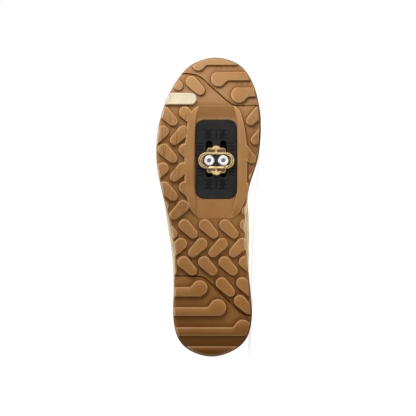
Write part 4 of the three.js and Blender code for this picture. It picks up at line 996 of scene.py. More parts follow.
def makeWasher():
    def shape(x, y):
        whole = insideStadium(x, y, cleat["at"], plate["out"], cleat["pocketWidth"] - 2 * gap,
                              cleat["pocketLength"] - 2 * gap)
        return np.minimum(whole, -insideHoles(x, y))

    def face(x, y):
        return washerTop - washer["thickness"] + np.interp(shape(x, y), washer["edge"], washer["drop"])

    box = (cleat["at"] - 8, cleat["at"] + 8, plate["out"] - 15, plate["out"] + 15)
    return cutPiece("clamping_washer", shape, box, 0.2, washer["edge"], [], face, lambda x: washerTop + 0 * x,
                    blackened, ["cleat_washer"], 0.7)


washerPiece = makeWasher()
bolt = {"head": 10.6, "headHeight": 2.2, "shank": 5, "socket": 4, "socketDepth": 1.5,
        "edge": [0, 0.15, 0.5, 1.1], "drop": [0.8, 0.45, 0.15, 0]}


def makeBolt(name, out, node):
    headTop = washerTop - washer["thickness"] - gap

    def shape(x, y):
        return insideDisc(x, y, cleat["at"], out, bolt["head"] / 2)

    def socket(x, y):
        turned = [abs((x - cleat["at"]) * math.cos(a) + (y - out) * math.sin(a))
                  for a in (math.pi / 2, math.pi / 6, -math.pi / 6)]
        return bolt["socket"] / 2 - np.maximum(np.maximum(turned[0], turned[1]), turned[2])

    def face(x, y):
        dish = np.interp(shape(x, y), bolt["edge"], bolt["drop"])
        sunk = bolt["socketDepth"] * np.interp(socket(x, y), [-0.3, 0, 0.08], [0, 0.12, 1])
        return headTop - bolt["headHeight"] + dish + sunk

    box = (cleat["at"] - 7, cleat["at"] + 7, out - 7, out + 7)
    head = cutPiece(name, shape, box, 0.15, bolt["edge"], [(socket, [-0.3, 0, 0.08])], face,
                    lambda x: headTop + 0 * x, steel, [node], 0.5, 1.6, sharp=10)
    points = standingPoints(head)
    # Painted shade in the hex socket
    giveShare(head, "hollow", smooth(socket(points[:, 0], points[:, 1]), -0.3, 0.1))
    return head


boltPieces = [makeBolt("steel_bolt_lateral", boltAt[0], "bolt_lateral"),
              makeBolt("steel_bolt_medial", boltAt[1], "bolt_medial")]
print("bolts", sum(len(piece.data.polygons) for piece in boltPieces))

# Foam with a moulded skin: matt cream, tiny closed cells
foamSkin = {"base": "#e9dbb8", "shade": "#dccca3", "roughness": 0.72, "cellMm": 0.9}


def makeFoam():
    look = foamSkin
    material, tree, shader = newMaterial("moulded foam skin", {"Roughness": look["roughness"], "IOR": 1.45})
    place = addNode(tree, "ShaderNodeTexCoord").outputs["Object"]
    cells = addNode(tree, "ShaderNodeTexVoronoi", {"Scale": 1000 / look["cellMm"]}, {"Vector": place})
    cloud = addNode(tree, "ShaderNodeTexNoise", {"Scale": 45.0, "Detail": 4.0}, {"Vector": place}).outputs["Fac"]
    colour = mixColours(tree, srgb(look["base"]), srgb(look["shade"]), spread(tree, cloud, 0.4, 0.7))
    tree.links.new(colour, shader.inputs["Base Color"])
    bump = addNode(tree, "ShaderNodeBump", {"Strength": 0.1, "Distance": 0.0003},
                   {"Height": cells.outputs["Distance"]})
    tree.links.new(bump.outputs["Normal"], shader.inputs["Normal"])
    return material


midsole = {
    "rings": [(0.22, 0), (0.55, 0.4), (0.88, -0.4)], "low": 2, "high": 1.6, "around": 520, "flareBy": 0.15,
    "steps": [0, 0.012, 0.03, 0.055, 0.09, 0.15, 0.22, 0.34, 0.45, 0.55, 0.66, 0.74, 0.77, 0.79, 0.81, 0.84, 0.88, 0.95, 1],
    "line": 0.79, "lineDepth": 0.7, "lineWidth": 0.022,
}


def makeMidsole():
    size = midsole
    shares = np.arange(size["around"]) / size["around"]
    side = spline([(0, -size["low"])] + size["rings"] + [(1, -size["high"])])(np.linspace(0, 1, 41))
    outAt = lambda part: np.interp(part, side[:, 0], side[:, 1])
    points = []
    for part in size["steps"]:
        cut = size["lineDepth"] * math.exp(-((part - size["line"]) / size["lineWidth"]) ** 2)

        def offset(at, medial):
            spread = math.sin(min(part / size["flareBy"], 1) * math.pi / 2)
            return midsoleOut(at, medial) * spread + outAt(part) - cut

        def height(x):
            low = rubberTop(x) + gap
            return low + (footHeight(x) - low) * part
        points.append(ring(shares, offset, height))
    count = size["around"]
    faces = flipped(gridFaces(len(points), count, True)) + stripCap(count, 0)
    faces += flipped(stripCap(count, (len(points) - 1) * count))
    return newPiece("foam_midsole", np.concatenate(points), flipped(faces), makeFoam(), ["midsole"])


midsolePiece = makeMidsole()
print("midsole", len(midsolePiece.data.polygons))


# Upper: ribs rise from the foot's edge to the collar or throat, as in the solids. Lists run from heel to toe.
last = {
    "bulge": [0.06, 0.06, 0.05, 0.05, 0.055, 0.07, 0.085, 0.075, 0.055, 0.045, 0.045, 0.045, 0.045, 0.045],
    "rise": [0.3, 0.3, 0.29, 0.27, 0.26, 0.27, 0.3, 0.32, 0.33, 0.33, 0.33, 0.33, 0.33, 0.33],
    "pad": [0.8, 0.85, 1, 1, 1, 0.9, 0.35, 0, 0, 0, 0, 0, 0, 0],
    "shoulderAt": [0.017, 0.035, 0.074, 0.138, 0.222, 0.33, 0.435, 0.53, 0.625, 0.708, 0.785, 0.845, 0.885, 0.9],
    "shoulderOut": [1, 0.78, 0.8, 0.87, 0.92, 0.98, 0.93, 0.79, 0.66, 0.56, 0.47, 0.4, 0.3, 1],
    "shoulderHigh": [0.7, 0.7, 0.66, 0.59, 0.55, 0.62, 0.76, 0.75, 0.59, 0.485, 0.43, 0.42, 0.43, 0.435],
    "edgeAt": [0.031, 0.044, 0.08, 0.148, 0.23, 0.32, 0.404, 0.49, 0.58, 0.653, 0.684, 0.697, 0.7025, 0.704],
    "edgeOut": [0, 0.125, 0.23, 0.297, 0.315, 0.298, 0.255, 0.185, 0.14, 0.111, 0.09, 0.062, 0.031, 0],
    "edgeHigh": [0.975, 0.955, 0.9, 0.8, 0.745, 0.835, 1.03, 0.955, 0.772, 0.617, 0.552, 0.525, 0.515, 0.512],
    "inset": 3.6, "collar": 68, "wall": 2.2, "padding": 4.5, "padFrom": 0.55, "padFull": 0.85, "rimFrom": 0.93,
    "rim": 0.4, "step": 0.9, "stepLow": 0.775, "stepHigh": 0.8, "stepFrom": 5.6, "stepFull": 6.4,
    "overlay": 1.2, "eyelets": 6, "eyeletFirst": 0.2445, "eyeletLast": 0.3435, "eyeletIn": 9, "hole": 4.6,
}
collar = last["collar"]


def besideFoot(i, side, out):
    share = np.array([(i if side > 0 else sections - i) / sections])
    point, outward = outlineAt(share)
    return (point + outward * (out - last["inset"]))[0]


def flareAt(i, side):
    return float(midsoleOut(sole["outlineAt"][i], side > 0))


def bulgePoint(i, side):
    point = besideFoot(i, side, min(flareAt(i, side), 0) + last["bulge"][i] * ballWidth)
    return (point[0], point[1], float(footHeight(point[0])) + last["rise"][i] * collar)


footLine = hoop(bothSides(lambda i, side: besideFoot(i, side, flareAt(i, side))))
bulgeLine = hoop(bothSides(bulgePoint))
shoulderLine = hoop(bothSides(lambda i, side: (
    last["shoulderAt"][i] * soleLength, side * halfWidth(i, side) * last["shoulderOut"][i],
    sole["heelStack"] + last["shoulderHigh"][i] * collar)))
edgeLine = hoop(bothSides(lambda i, side: (
    last["edgeAt"][i] * soleLength, side * last["edgeOut"][i] * ballWidth,
    sole["heelStack"] + last["edgeHigh"][i] * collar)))
padLine = hoop(bothSides(lambda i, side: (last["pad"][i], 0, 0)))


def ribPoint(share, up):
    share, up = np.broadcast_arrays(np.asarray(share, float), np.asarray(up, float))
    low = footLine(share)
    low[..., 2] = footHeight(low[..., 0]) + gap
    down, rise = (1 - up)[..., None], up[..., None]
    return (low * down ** 3 + 3 * down ** 2 * rise * bulgeLine(share) + 3 * down * rise ** 2 * shoulderLine(share)
            + rise ** 3 * edgeLine(share))


def ribNormal(share, up):
    step = 0.002
    high = np.minimum(up + step, 1)
    rise = ribPoint(share, high) - ribPoint(share, high - 2 * step)
    along = ribPoint(share + step, up) - ribPoint(share - step, up)
    normal = np.cross(rise, along)
    return normal / np.linalg.norm(normal, axis=-1, keepdims=True)


def upperPoint(share, up, offset):
    share, up = np.broadcast_arrays(np.asarray(share, float), np.asarray(up, float))
    return ribPoint(share, up) + ribNormal(share, up) * np.broadcast_to(offset, share.shape)[..., None]


def padAt(share, up):
    pad = np.clip(padLine(share)[..., 0], 0, 1)
    thin = 1 - (1 - last["rim"]) * smooth(up, last["rimFrom"], 1)
    return last["padding"] * pad * smooth(up, last["padFrom"], last["padFull"]) * thin


def stepAt(share, up):
    row = np.minimum(share, 1 - share) * sections
    return last["step"] * smooth(up, last["stepLow"], last["stepHigh"]) * smooth(row, last["stepFrom"], last["stepFull"])


# Creases, listed where the toes bend the forefoot and the ankle bends the quarter: place along and
# share up the rib at both ends, depth and width in mm; side 1 is medial, -1 lateral, 0 both
creases = [
    (0, 0.79, 0.2, 0.712, 0.93, 0.75, 3.4), (0, 0.762, 0.34, 0.7, 0.8, 0.6, 2.8), (0, 0.735, 0.16, 0.672, 0.72, 0.5, 2.6),
    (1, 0.815, 0.35, 0.76, 0.86, 0.45, 3.0), (-1, 0.805, 0.42, 0.748, 0.9, 0.5, 2.6),
    (0, 0.24, 0.55, 0.3, 0.86, 0.7, 4.2), (0, 0.27, 0.42, 0.34, 0.72, 0.5, 3.6), (0, 0.12, 0.62, 0.19, 0.8, 0.4, 3.6),
]


def creaseAt(share, up, points):
    deep = np.zeros(np.shape(up))
    medial = np.where(share % 1 <= 0.5, 1, -1)
    at = points[..., 0]
    for side, fromAt, fromUp, toAt, toUp, depth, width in creases:
        t = np.clip((up - fromUp) / (toUp - fromUp), 0, 1)
        line = (fromAt + (toAt - fromAt) * t + 0.006 * np.sin(7 * t + 3 * fromAt)) * soleLength
        away = (at - line) / width
        fade = smooth(up, fromUp - 0.1, fromUp + 0.12) * (1 - smooth(up, toUp - 0.1, toUp + 0.06))
        on = 1 if side == 0 else (medial == side)
        deep = deep + on * fade * depth * (np.exp(-away ** 2) - 0.45 * np.exp(-((np.abs(away) - 1.7) / 0.8) ** 2))
    return deep


# Microfibre, pressed with a fine leather grain: matt, slightly cool to cream, pores of half a millimetre;
# rows of pinholes in the vamp and quarter, painted as dark dots, the lining's colour in painted shade, for holes that
# are not cut. Drawn twice as coarse as real so that they show.
microfibre = {"base": "#d9ccab", "shade": "#c9ba95", "hole": "#4a4335", "roughness": 0.62, "poreMm": 1.2,
              "cloudMm": 40, "holePitchMm": 5.5, "holeMm": 1.0}


def grained(name, look, holes=False):
    material, tree, shader = newMaterial(name, {"Roughness": look["roughness"], "IOR": 1.45,
                                                "Sheen Weight": 0.12, "Sheen Roughness": 0.5})
    place = addNode(tree, "ShaderNodeTexCoord").outputs["Object"]
    pores = addNode(tree, "ShaderNodeTexVoronoi", {"Scale": 1000 / look["poreMm"]}, {"Vector": place})
    cloud = addNode(tree, "ShaderNodeTexNoise", {"Scale": 1000 / look["cloudMm"], "Detail": 5.0},
                    {"Vector": place}).outputs["Fac"]
    fine = addNode(tree, "ShaderNodeTexNoise", {"Scale": 2500.0, "Detail": 2.0}, {"Vector": place}).outputs["Fac"]
    colour = mixColours(tree, srgb(look["base"]), srgb(look["shade"]), spread(tree, cloud, 0.35, 0.7))
    colour = mixColours(tree, colour, srgb(look["shade"]), spread(tree, pores.outputs["Distance"], 0.55, 0.9, 0, 0.5))
    height = addNode(tree, "ShaderNodeMath", {"operation": "MULTIPLY_ADD"}, {})
    tree.links.new(pores.outputs["Distance"], height.inputs[0])
    height.inputs[1].default_value = -1.0
    tree.links.new(fine, height.inputs[2])
    bump = addNode(tree, "ShaderNodeBump", {"Strength": 0.22, "Distance": 0.0004}, {"Height": height.outputs[0]})
    normal = bump.outputs["Normal"]
    if holes:
        # The pinholes are painted dark dots: painted shade for holes that are not cut
        mask = pinholes(tree, look)
        colour = mixColours(tree, colour, srgb(look["hole"]), mask)
        deeper = addNode(tree, "ShaderNodeMath", {"operation": "SUBTRACT"})
        deeper.inputs[0].default_value = 1.0
        tree.links.new(mask, deeper.inputs[1])
        normal = addNode(tree, "ShaderNodeBump", {"Strength": 0.7, "Distance": 0.0006},
                         {"Height": deeper.outputs[0], "Normal": normal}).outputs["Normal"]
    tree.links.new(colour, shader.inputs["Base Color"])
    tree.links.new(normal, shader.inputs["Normal"])
    return material


def pinholes(tree, look):  # staggered dots on the piece's own mm map, where the attribute "pierced" is 1
    flat = addNode(tree, "ShaderNodeUVMap", {"uv_map": "millimetres"}).outputs["UV"]
    turned = addNode(tree, "ShaderNodeMapping", {"Rotation": (0, 0, math.radians(45)),
                                                 "Scale": (1 / look["holePitchMm"],) * 3}, {"Vector": flat})
    cell = addNode(tree, "ShaderNodeVectorMath", {"operation": "FRACTION"}, {"Vector": turned.outputs["Vector"]})
    away = addNode(tree, "ShaderNodeVectorMath", {"operation": "DISTANCE"})
    tree.links.new(cell.outputs["Vector"], away.inputs[0])
    flatten = addNode(tree, "ShaderNodeVectorMath", {"operation": "MULTIPLY"}, {})
    tree.links.new(cell.outputs["Vector"], flatten.inputs[0])
    flatten.inputs[1].default_value = (1, 1, 0)
    tree.links.new(flatten.outputs["Vector"], away.inputs[0])
    away.inputs[1].default_value = (0.5, 0.5, 0)
    radius = look["holeMm"] / look["holePitchMm"] / 2
    dots = spread(tree, away.outputs["Value"], radius * 0.85, radius * 1.15, 1, 0)
    where = addNode(tree, "ShaderNodeAttribute", {"attribute_name": "pierced"}).outputs["Fac"]
    mask = addNode(tree, "ShaderNodeMath", {"operation": "MULTIPLY"})
    tree.links.new(dots, mask.inputs[0])
    tree.links.new(spread(tree, where, 0.45, 0.55), mask.inputs[1])
    return mask.outputs[0]


# Knitted lining, brushed polyester: grey beige, soft, ribs a millimetre and a half apart
lining = {"base": "#8d8573", "shade": "#6f6858", "roughness": 0.95, "ribMm": 1.6}
# Knitted insole cover, darker, the same making
insoleCloth = {"base": "#6b665c", "shade": "#4f4b43", "roughness": 0.95, "ribMm": 1.4}
# Spacer mesh of the tongue, two knitted faces with open cells; cream
spacerMesh = {"base": "#cfc3a1", "shade": "#a89c7c", "roughness": 0.9, "ribMm": 2.0}


def knitted(name, look):
    material, tree, shader = newMaterial(name, {"Roughness": look["roughness"], "IOR": 1.45,
                                                "Sheen Weight": 0.3, "Sheen Roughness": 0.6})
    flat = addNode(tree, "ShaderNodeUVMap", {"uv_map": "millimetres"}).outputs["UV"]
    scaled = addNode(tree, "ShaderNodeMapping", {"Scale": (1 / look["ribMm"], 1.4 / look["ribMm"], 1)},
                     {"Vector": flat}).outputs["Vector"]
    cells = addNode(tree, "ShaderNodeTexVoronoi", {"Scale": 1.0, "Randomness": 0.25, "voronoi_dimensions": "2D"},
                    {"Vector": scaled}).outputs["Distance"]
    cloud = addNode(tree, "ShaderNodeTexNoise", {"Scale": 0.6, "Detail": 4.0}, {"Vector": scaled}).outputs["Fac"]
    both = addNode(tree, "ShaderNodeMath", {"operation": "MULTIPLY_ADD"})
    tree.links.new(cloud, both.inputs[0])
    both.inputs[1].default_value = 0.4
    tree.links.new(cells, both.inputs[2])
    colour = mixColours(tree, srgb(look["base"]), srgb(look["shade"]), spread(tree, both.outputs[0], 0.35, 0.85))
    tree.links.new(colour, shader.inputs["Base Color"])
    bump = addNode(tree, "ShaderNodeBump", {"Strength": 0.6, "Distance": 0.0006, "invert": True}, {"Height": cells})
    tree.links.new(bump.outputs["Normal"], shader.inputs["Normal"])
    return material


def giveMap(piece, u, v):  # the piece's own map, in mm
    layer = piece.data.uv_layers.new(name="millimetres")
    corner = np.empty(len(piece.data.loops), int)
    piece.data.loops.foreach_get("vertex_index", corner)
    layer.data.foreach_set("uv", np.stack([u[corner], v[corner]], 1).ravel())


upperSteps = {
    "around": 416,
    "outer": np.unique(np.concatenate([np.linspace(0, 0.76, 27), np.linspace(0.77, 0.81, 6), np.linspace(0.82, 1, 9)])),
    "inner": np.concatenate([[0.97, 0.93], np.linspace(0.88, 0, 20)]),
    "rim": 7, "crown": 1.6,
}


def upperEyelets():
    found = []
    for i in range(last["eyelets"]):
        along = last["eyeletFirst"] + (last["eyeletLast"] - last["eyeletFirst"]) * i / (last["eyelets"] - 1)
        pair = []
        for share in (along, 1 - along):
            reach = np.linalg.norm(edgeLine(share) - shoulderLine(share))
            up = 1 - last["eyeletIn"] / (3 * reach)
            pair.append({"share": share, "up": up, "point": upperPoint(share, up, last["step"]),
                         "normal": ribNormal(share, np.asarray(up))})
        found.append(pair)
    return found


eyeletPairs = upperEyelets()


def makeUpper():
    size = upperSteps
    shares = np.arange(size["around"]) / size["around"]
    share, up = np.meshgrid(shares, size["outer"])
    plain = ribPoint(share, up)
    outer = upperPoint(share, up, stepAt(share, up) - creaseAt(share, up, plain))
    shareIn, upIn = np.meshgrid(shares, np.concatenate([[1], size["inner"]]))
    inner = upperPoint(shareIn, upIn, -last["wall"] - padAt(shareIn, upIn)
                       - 0.8 * creaseAt(shareIn, upIn, ribPoint(shareIn, upIn)))
    inner[-1, :, 2] = footHeight(inner[-1, :, 0]) + gap
    middle, half = (outer[-1] + inner[0]) / 2, (outer[-1] - inner[0]) / 2
    rise = ribPoint(shares, 1) - ribPoint(shares, last["rimFrom"])
    rise /= np.linalg.norm(rise, axis=-1, keepdims=True)
    turns = np.linspace(0, math.pi, size["rim"] + 2)[1:-1]
    rim = [middle + half * math.cos(a) + rise * size["crown"] * math.sin(a) for a in turns]
    rows = list(outer) + rim + list(inner)
    points = np.concatenate(rows)
    outerRows, rimRows = len(outer), len(rim)
    faces = flipped(gridFaces(len(rows), size["around"], True))
    ups = np.concatenate([size["outer"], np.ones(rimRows), upIn[:, 0]])
    bottom = (len(rows) - 1) * size["around"]
    for i in range(size["around"]):
        j = (i + 1) % size["around"]
        faces.append((i, bottom + i, bottom + j, j))
    piece = newPiece("stitched_upper", points, flipped(faces), grained("pressed microfibre", microfibre, True),
                     ["upper"], sharp=0)
    piece.data.materials.append(knitted("brushed lining", lining))
    rowOf = np.arange(len(faces)) // size["around"]
    inside = (rowOf >= outerRows + rimRows // 2) & (rowOf < len(rows) - 1)
    piece.data.polygons.foreach_set("material_index", inside.astype(int))
    girth = np.linalg.norm(np.diff(outlineLine(np.append(shares, 1.0)), axis=0), axis=1).sum()
    giveMap(piece, np.tile(shares * girth, len(rows)), np.repeat(ups * 100, size["around"]))
    at = points[:, 0] / soleLength
    upAll = np.repeat(ups, size["around"])
    quarter = (at > 0.36) & (at < 0.62) & (upAll > 0.3) & (upAll < 0.66)
    vamp = (at > 0.66) & (at < 0.82) & (upAll > 0.6) & (upAll < 0.75)
    isOuter = np.arange(len(points)) < outerRows * size["around"]
    pierced = piece.data.attributes.new("pierced", "FLOAT", "POINT")
    pierced.data.foreach_set("value", ((quarter | vamp) & isOuter).astype(float))
    return piece


def punchEyelets(piece):
    sides = 20
    points, faces = [], []
    for pair in eyeletPairs:
        for eyelet in pair:
            normal = Vector(eyelet["normal"])
            across = normal.orthogonal().normalized()
            other = normal.cross(across)
            start = len(points)
            for end in (-9, 4):
                for k in range(sides):
                    a = 2 * math.pi * k / sides
                    points.append(Vector(eyelet["point"]) + normal * end + (across * math.cos(a) + other * math.sin(a))
                                  * last["hole"] / 2)
            faces += [tuple(start + k for k in reversed(range(sides))), tuple(start + sides + k for k in range(sides))]
            faces += [(start + k, start + (k + 1) % sides, start + sides + (k + 1) % sides, start + sides + k)
                      for k in range(sides)]
    mesh = bpy.data.meshes.new("punch")
    mesh.from_pydata([tuple(p) for p in lie([tuple(p) for p in points])], [], faces)
    punch = bpy.data.objects.new("punch", mesh)
    bpy.context.scene.collection.objects.link(punch)
    cut = piece.modifiers.new("punch", "BOOLEAN")
    cut.object, cut.operation, cut.solver = punch, "DIFFERENCE", "EXACT"
    settle(piece)
    bpy.data.objects.remove(punch)


def settle(piece):  # applies what the modifiers give, and removes them
    bpy.context.view_layer.update()
    made = bpy.data.meshes.new_from_object(piece.evaluated_get(bpy.context.evaluated_depsgraph_get()))
    piece.modifiers.clear()
    piece.data = made
    return piece


upperPiece = makeUpper()
punchEyelets(upperPiece)
print("upper", len(upperPiece.data.polygons))


def shell(name, outer, inner, material, nodes, mapped, sharp=50):
    rows, columns = outer.shape[:2]
    points = np.concatenate([outer.reshape(-1, 3), inner.reshape(-1, 3)])
    top = gridFaces(rows, columns)
    shiftBy = rows * columns
    low = [tuple(v + shiftBy for v in face) for face in flipped(top)]
    border = ([(0, i) for i in range(columns)] + [(k, columns - 1) for k in range(1, rows)]
              + [(rows - 1, i) for i in range(columns - 2, -1, -1)] + [(k, 0) for k in range(rows - 2, 0, -1)])
    border = [k * columns + i for k, i in border]
    sides = [(b, a, a + shiftBy, b + shiftBy) for a, b in zip(border, border[1:] + border[:1])]
    piece = newPiece(name, points, flipped(top + low + sides), material, nodes, sharp)
    giveMap(piece, np.tile(mapped[0].ravel(), 2), np.tile(mapped[1].ravel(), 2))
    return piece


# Thermoplastic film, hot pressed over the toe and heel: satin, smooth, faint orange peel
pressedFilm = {"base": "#c3b48d", "shade": "#b3a37b", "roughness": 0.42, "poreMm": 2.2, "cloudMm": 30}
overlays = {"columns": 220, "rows": 20, "edgeAt": [0, 0.9, 0.955, 0.985, 1], "edgeShare": [1, 1, 0.92, 0.6, 0.12]}
toeCapEdge = [(0.874, 0.75), (0.864, 0.32), (0.855, 0.22), (0.84, 0.13), (0.815, 0.05), (0.78, -0.01)]
toeCapFoot = 0.735
heelEdge = [(0, 0.61), (0.06, 0.53), (0.13, 0.44), (0.18, 0.36), (0.22, 0.25), (0.25, 0.12)]
heelFoot = 0.268


def sideView(rows):
    return np.array([(at * soleLength, sole["heelStack"] + high * collar) for at, high in rows])


def overToe(points):
    line = sideView(toeCapEdge)
    line = np.concatenate([line, [(toeCapFoot * soleLength, float(footHeight(toeCapFoot * soleLength)))]])[::-1]
    return points[..., 0] > np.interp(points[..., 2], line[:, 1], line[:, 0])


def overHeel(points):
    line = sideView(heelEdge)
    line = np.concatenate([line, [(heelFoot * soleLength, float(footHeight(heelFoot * soleLength)))]])
    return points[..., 2] < np.interp(points[..., 0], line[:, 0], line[:, 1], right=-1)


def reachUp(shares, covered):  # how far up each rib an overlay goes
    ups = np.linspace(0.008, 1, 320)
    share, up = np.meshgrid(shares, ups)
    out = ~covered(upperPoint(share, up, gap + last["overlay"]))
    first = np.where(out.any(0), out.argmax(0), len(ups) - 1)
    return ups[first]


def makeOverlay(name, middle, covered, material, node):
    probe = middle + np.linspace(-0.5, 0.5, 1001)
    on = reachUp(probe, covered) > 0.012
    width = min(np.argmin(on[500:]), np.argmin(on[500::-1])) - 1
    shares = np.linspace(probe[500 - width], probe[500 + width], overlays["columns"])
    top = reachUp(shares, covered)
    part = np.sin(np.linspace(0, 1, overlays["rows"]) * math.pi / 2) ** 0.8
    up = 0.008 + part[:, None] * (top - 0.008)[None]
    share = np.broadcast_to(shares, up.shape)
    near = np.interp(part, overlays["edgeAt"], overlays["edgeShare"])[:, None]
    ends = np.interp(np.abs(np.linspace(-1, 1, len(shares))), overlays["edgeAt"], overlays["edgeShare"])[None]
    crease = creaseAt(share, up, ribPoint(share, up))
    low = gap + stepAt(share, up) - crease
    outer = upperPoint(share, up, low + last["overlay"] * near * ends)
    inner = upperPoint(share, up, low)
    piece = shell(name, outer, inner, material, [node], (share * 680, up * 100))
    return piece, shares, top


film = grained("hot pressed film", pressedFilm)
toeCapPiece, toeShares, toeTop = makeOverlay("pressed_toe_cap", 0.5, overToe, film, "toe_cap")
heelPiece, heelShares, heelTop = makeOverlay("pressed_heel_counter", 0.0, overHeel, film, "heel_counter")
print("overlays", len(toeCapPiece.data.polygons), len(heelPiece.data.polygons))

# Tongue: padded, from under the eyestays over the instep, with a free flap
tongue = {
    "clear": 0.9, "firstRow": 6.3, "shortOf": 0.12, "crown": 0.12, "haunch": 0.8, "arms": [0.84, 0.92, 1],
    "reach": 17, "rise": 13, "narrow": 0.16, "droop": 0.12, "thick": 4, "edge": 0.35,
    "rows": 56, "flapRows": 14, "columns": 45, "channels": 5, "channelDepth": 0.7,
}


def tongueSection(row):
    share = row / sections
    arms = np.array(tongue["arms"])

    def arm(at):
        return upperPoint(at, arms, -last["wall"] - tongue["clear"] - padAt(np.full(3, at), arms))

    medial, lateral = arm(share), arm(1 - share)[::-1]
    near, far = medial[-1], lateral[0]
    crown = (near + far) / 2
    crown[2] += tongue["crown"] * (near[1] - far[1])

    def haunch(edge):
        point = (edge + crown) / 2
        point[2] = edge[2] + (crown[2] - edge[2]) * tongue["haunch"]
        return point
    return spline(np.array([*medial, haunch(near), crown, haunch(far), *lateral]))(np.linspace(0, 1, tongue["columns"]))


def makeTongue():
    size = tongue
    lastRow = rowCount - 1 - size["shortOf"]
    under = [tongueSection(row) for row in np.linspace(size["firstRow"], lastRow, size["rows"])]
    flap = []
    for part in np.linspace(1, 0, size["flapRows"], endpoint=False):
        row = under[0].copy()
        row[:, 0] -= size["reach"] * (1 - (1 - part) ** 1.1) * (1 - 0.12 * np.abs(row[:, 1] / 30) ** 2 * part)
        row[:, 2] += (size["rise"] - size["droop"] * np.abs(row[:, 1])) * part
        row[:, 1] *= 1 - size["narrow"] * part
        flap.append(row)
    grid = np.array(flap + under)
    along = np.gradient(grid, axis=0)
    across = np.gradient(grid, axis=1)
    normal = np.cross(across, along)
    normal /= np.linalg.norm(normal, axis=-1, keepdims=True)
    side = np.linspace(-1, 1, size["columns"])[None]
    rowAt = np.linspace(0, 1, len(grid))[:, None]
    edge = size["edge"] + (1 - size["edge"]) * smooth(1 - np.abs(side), 0, 0.16) * smooth(rowAt, 0, 0.05)
    channels = np.abs(np.sin(side * size["channels"] * math.pi / 2)) ** 0.5
    sewn = 1 - smooth(rowAt, 0.34, 0.44)
    puff = size["channelDepth"] * (channels - 1) * smooth(rowAt, 0.03, 0.08) * (1 - np.abs(side) ** 6) * sewn
    thick = size["thick"] * edge
    outer = grid + normal * (puff - (size["thick"] - thick) * 0.35)[..., None]
    inner = grid - normal * (thick + 0.4 * (1 - edge))[..., None]
    u = np.broadcast_to(side * 45, grid.shape[:2])
    v = np.broadcast_to(rowAt * 130, grid.shape[:2])
    piece = shell("padded_tongue", outer, inner, knitted("spacer mesh", spacerMesh), ["tongue"], (u, v),
                  sharp=0)
    return piece, outer, normal


tonguePiece, tongueTop, tongueNormal = makeTongue()
print("tongue", len(tonguePiece.data.polygons))

# Insole: a knitted cover over foam, dished to the foot
insole = {"clear": 0.8, "thick": 4, "across": 17, "around": 208, "dish": 1.2}


def makeInsole():
    size = insole
    shares = np.arange(size["around"]) / size["around"]
    topUp = size["thick"] / (3 * last["rise"][0] * collar)

    def loop(up, height, further=0.0):
        points = upperPoint(shares, up, -last["wall"] - size["clear"] - further)
        points[:, 2] = footHeight(points[:, 0]) + gap + height
        return points

    def spanned(edge, dish):
        half = size["around"] // 2
        rows = []
        for i in range(half + 1):
            medial, lateral = edge[i], edge[-i % size["around"]]
            t = np.linspace(0, 1, size["across"])[:, None]
            row = medial + (lateral - medial) * t
            wide = abs(medial[1] - lateral[1]) / ballWidth
            row[:, 2] -= dish * wide * 4 * t[:, 0] * (1 - t[:, 0])
            rows.append(row)
        return np.array(rows)

    top = spanned(loop(topUp, size["thick"], 0.3), size["dish"])
    low = spanned(loop(0.0, 0), 0)
    x, y = top[..., 0], top[..., 1]
    return shell("foam_insole", top, low, knitted("knitted insole cover", insoleCloth), ["insole"], (x, y))


insolePiece = makeInsole()
print("insole", len(insolePiece.data.polygons))


# Laces: one crossing runs from each eyelet, over the tongue, into the next one on the other side
laceCord = {"base": "#ece4cc", "shade": "#cfc4a4", "roughness": 0.85, "braidMm": 1.5}
lace = {"wide": 3.2, "thick": 2.2, "sides": 14, "steps": 60, "lift": 0.6, "dive": 3.4, "aside": 0.55}


def makeCord():
    look = laceCord
    material, tree, shader = newMaterial("braided polyester", {"Roughness": look["roughness"], "IOR": 1.45,
                                                               "Sheen Weight": 0.35, "Sheen Roughness": 0.5})
    flat = addNode(tree, "ShaderNodeUVMap", {"uv_map": "millimetres"}).outputs["UV"]
    threads = []
    for lean in (35, -35):
        turned = addNode(tree, "ShaderNodeMapping", {"Rotation": (0, 0, math.radians(lean))}, {"Vector": flat})
        threads.append(addNode(tree, "ShaderNodeTexWave", {"Scale": 2.2 / look["braidMm"], "Distortion": 0.0},
                               {"Vector": turned.outputs["Vector"]}).outputs["Fac"])
    woven = addNode(tree, "ShaderNodeMath", {"operation": "MAXIMUM"})
    tree.links.new(threads[0], woven.inputs[0])
    tree.links.new(threads[1], woven.inputs[1])
    colour = mixColours(tree, srgb(look["shade"]), srgb(look["base"]), spread(tree, woven.outputs[0], 0.3, 0.9))
    tree.links.new(colour, shader.inputs["Base Color"])
    bump = addNode(tree, "ShaderNodeBump", {"Strength": 0.7, "Distance": 0.0004}, {"Height": woven.outputs[0]})
    tree.links.new(bump.outputs["Normal"], shader.inputs["Normal"])
    return material


def lacePath(start, end, side):
    lift = last["step"] + lace["thick"] / 2 + lace["lift"]
    points = []
    for eyelet, way in ((start, 1), (end, -1)):
        share, up = eyelet["share"], eyelet["up"]
        nudge = 0.0016 * side * way
        hole = [upperPoint(share + nudge * 0.4, up, last["step"] - lace["dive"]),
                upperPoint(share + nudge, up + 0.004, last["step"] + lace["thick"] * 0.45),
                upperPoint(share + nudge, up + 0.03, lift), upperPoint(share + nudge, 0.96, lift)]
        points.append(hole)
    first, second = points[0], points[1][::-1]
    crown = (first[-1] + second[0]) / 2
    crown[2] += tongue["crown"] * abs(first[-1][1] - second[0][1])
    return spline(first + [crown] + second)(np.linspace(0, 1, lace["steps"]))


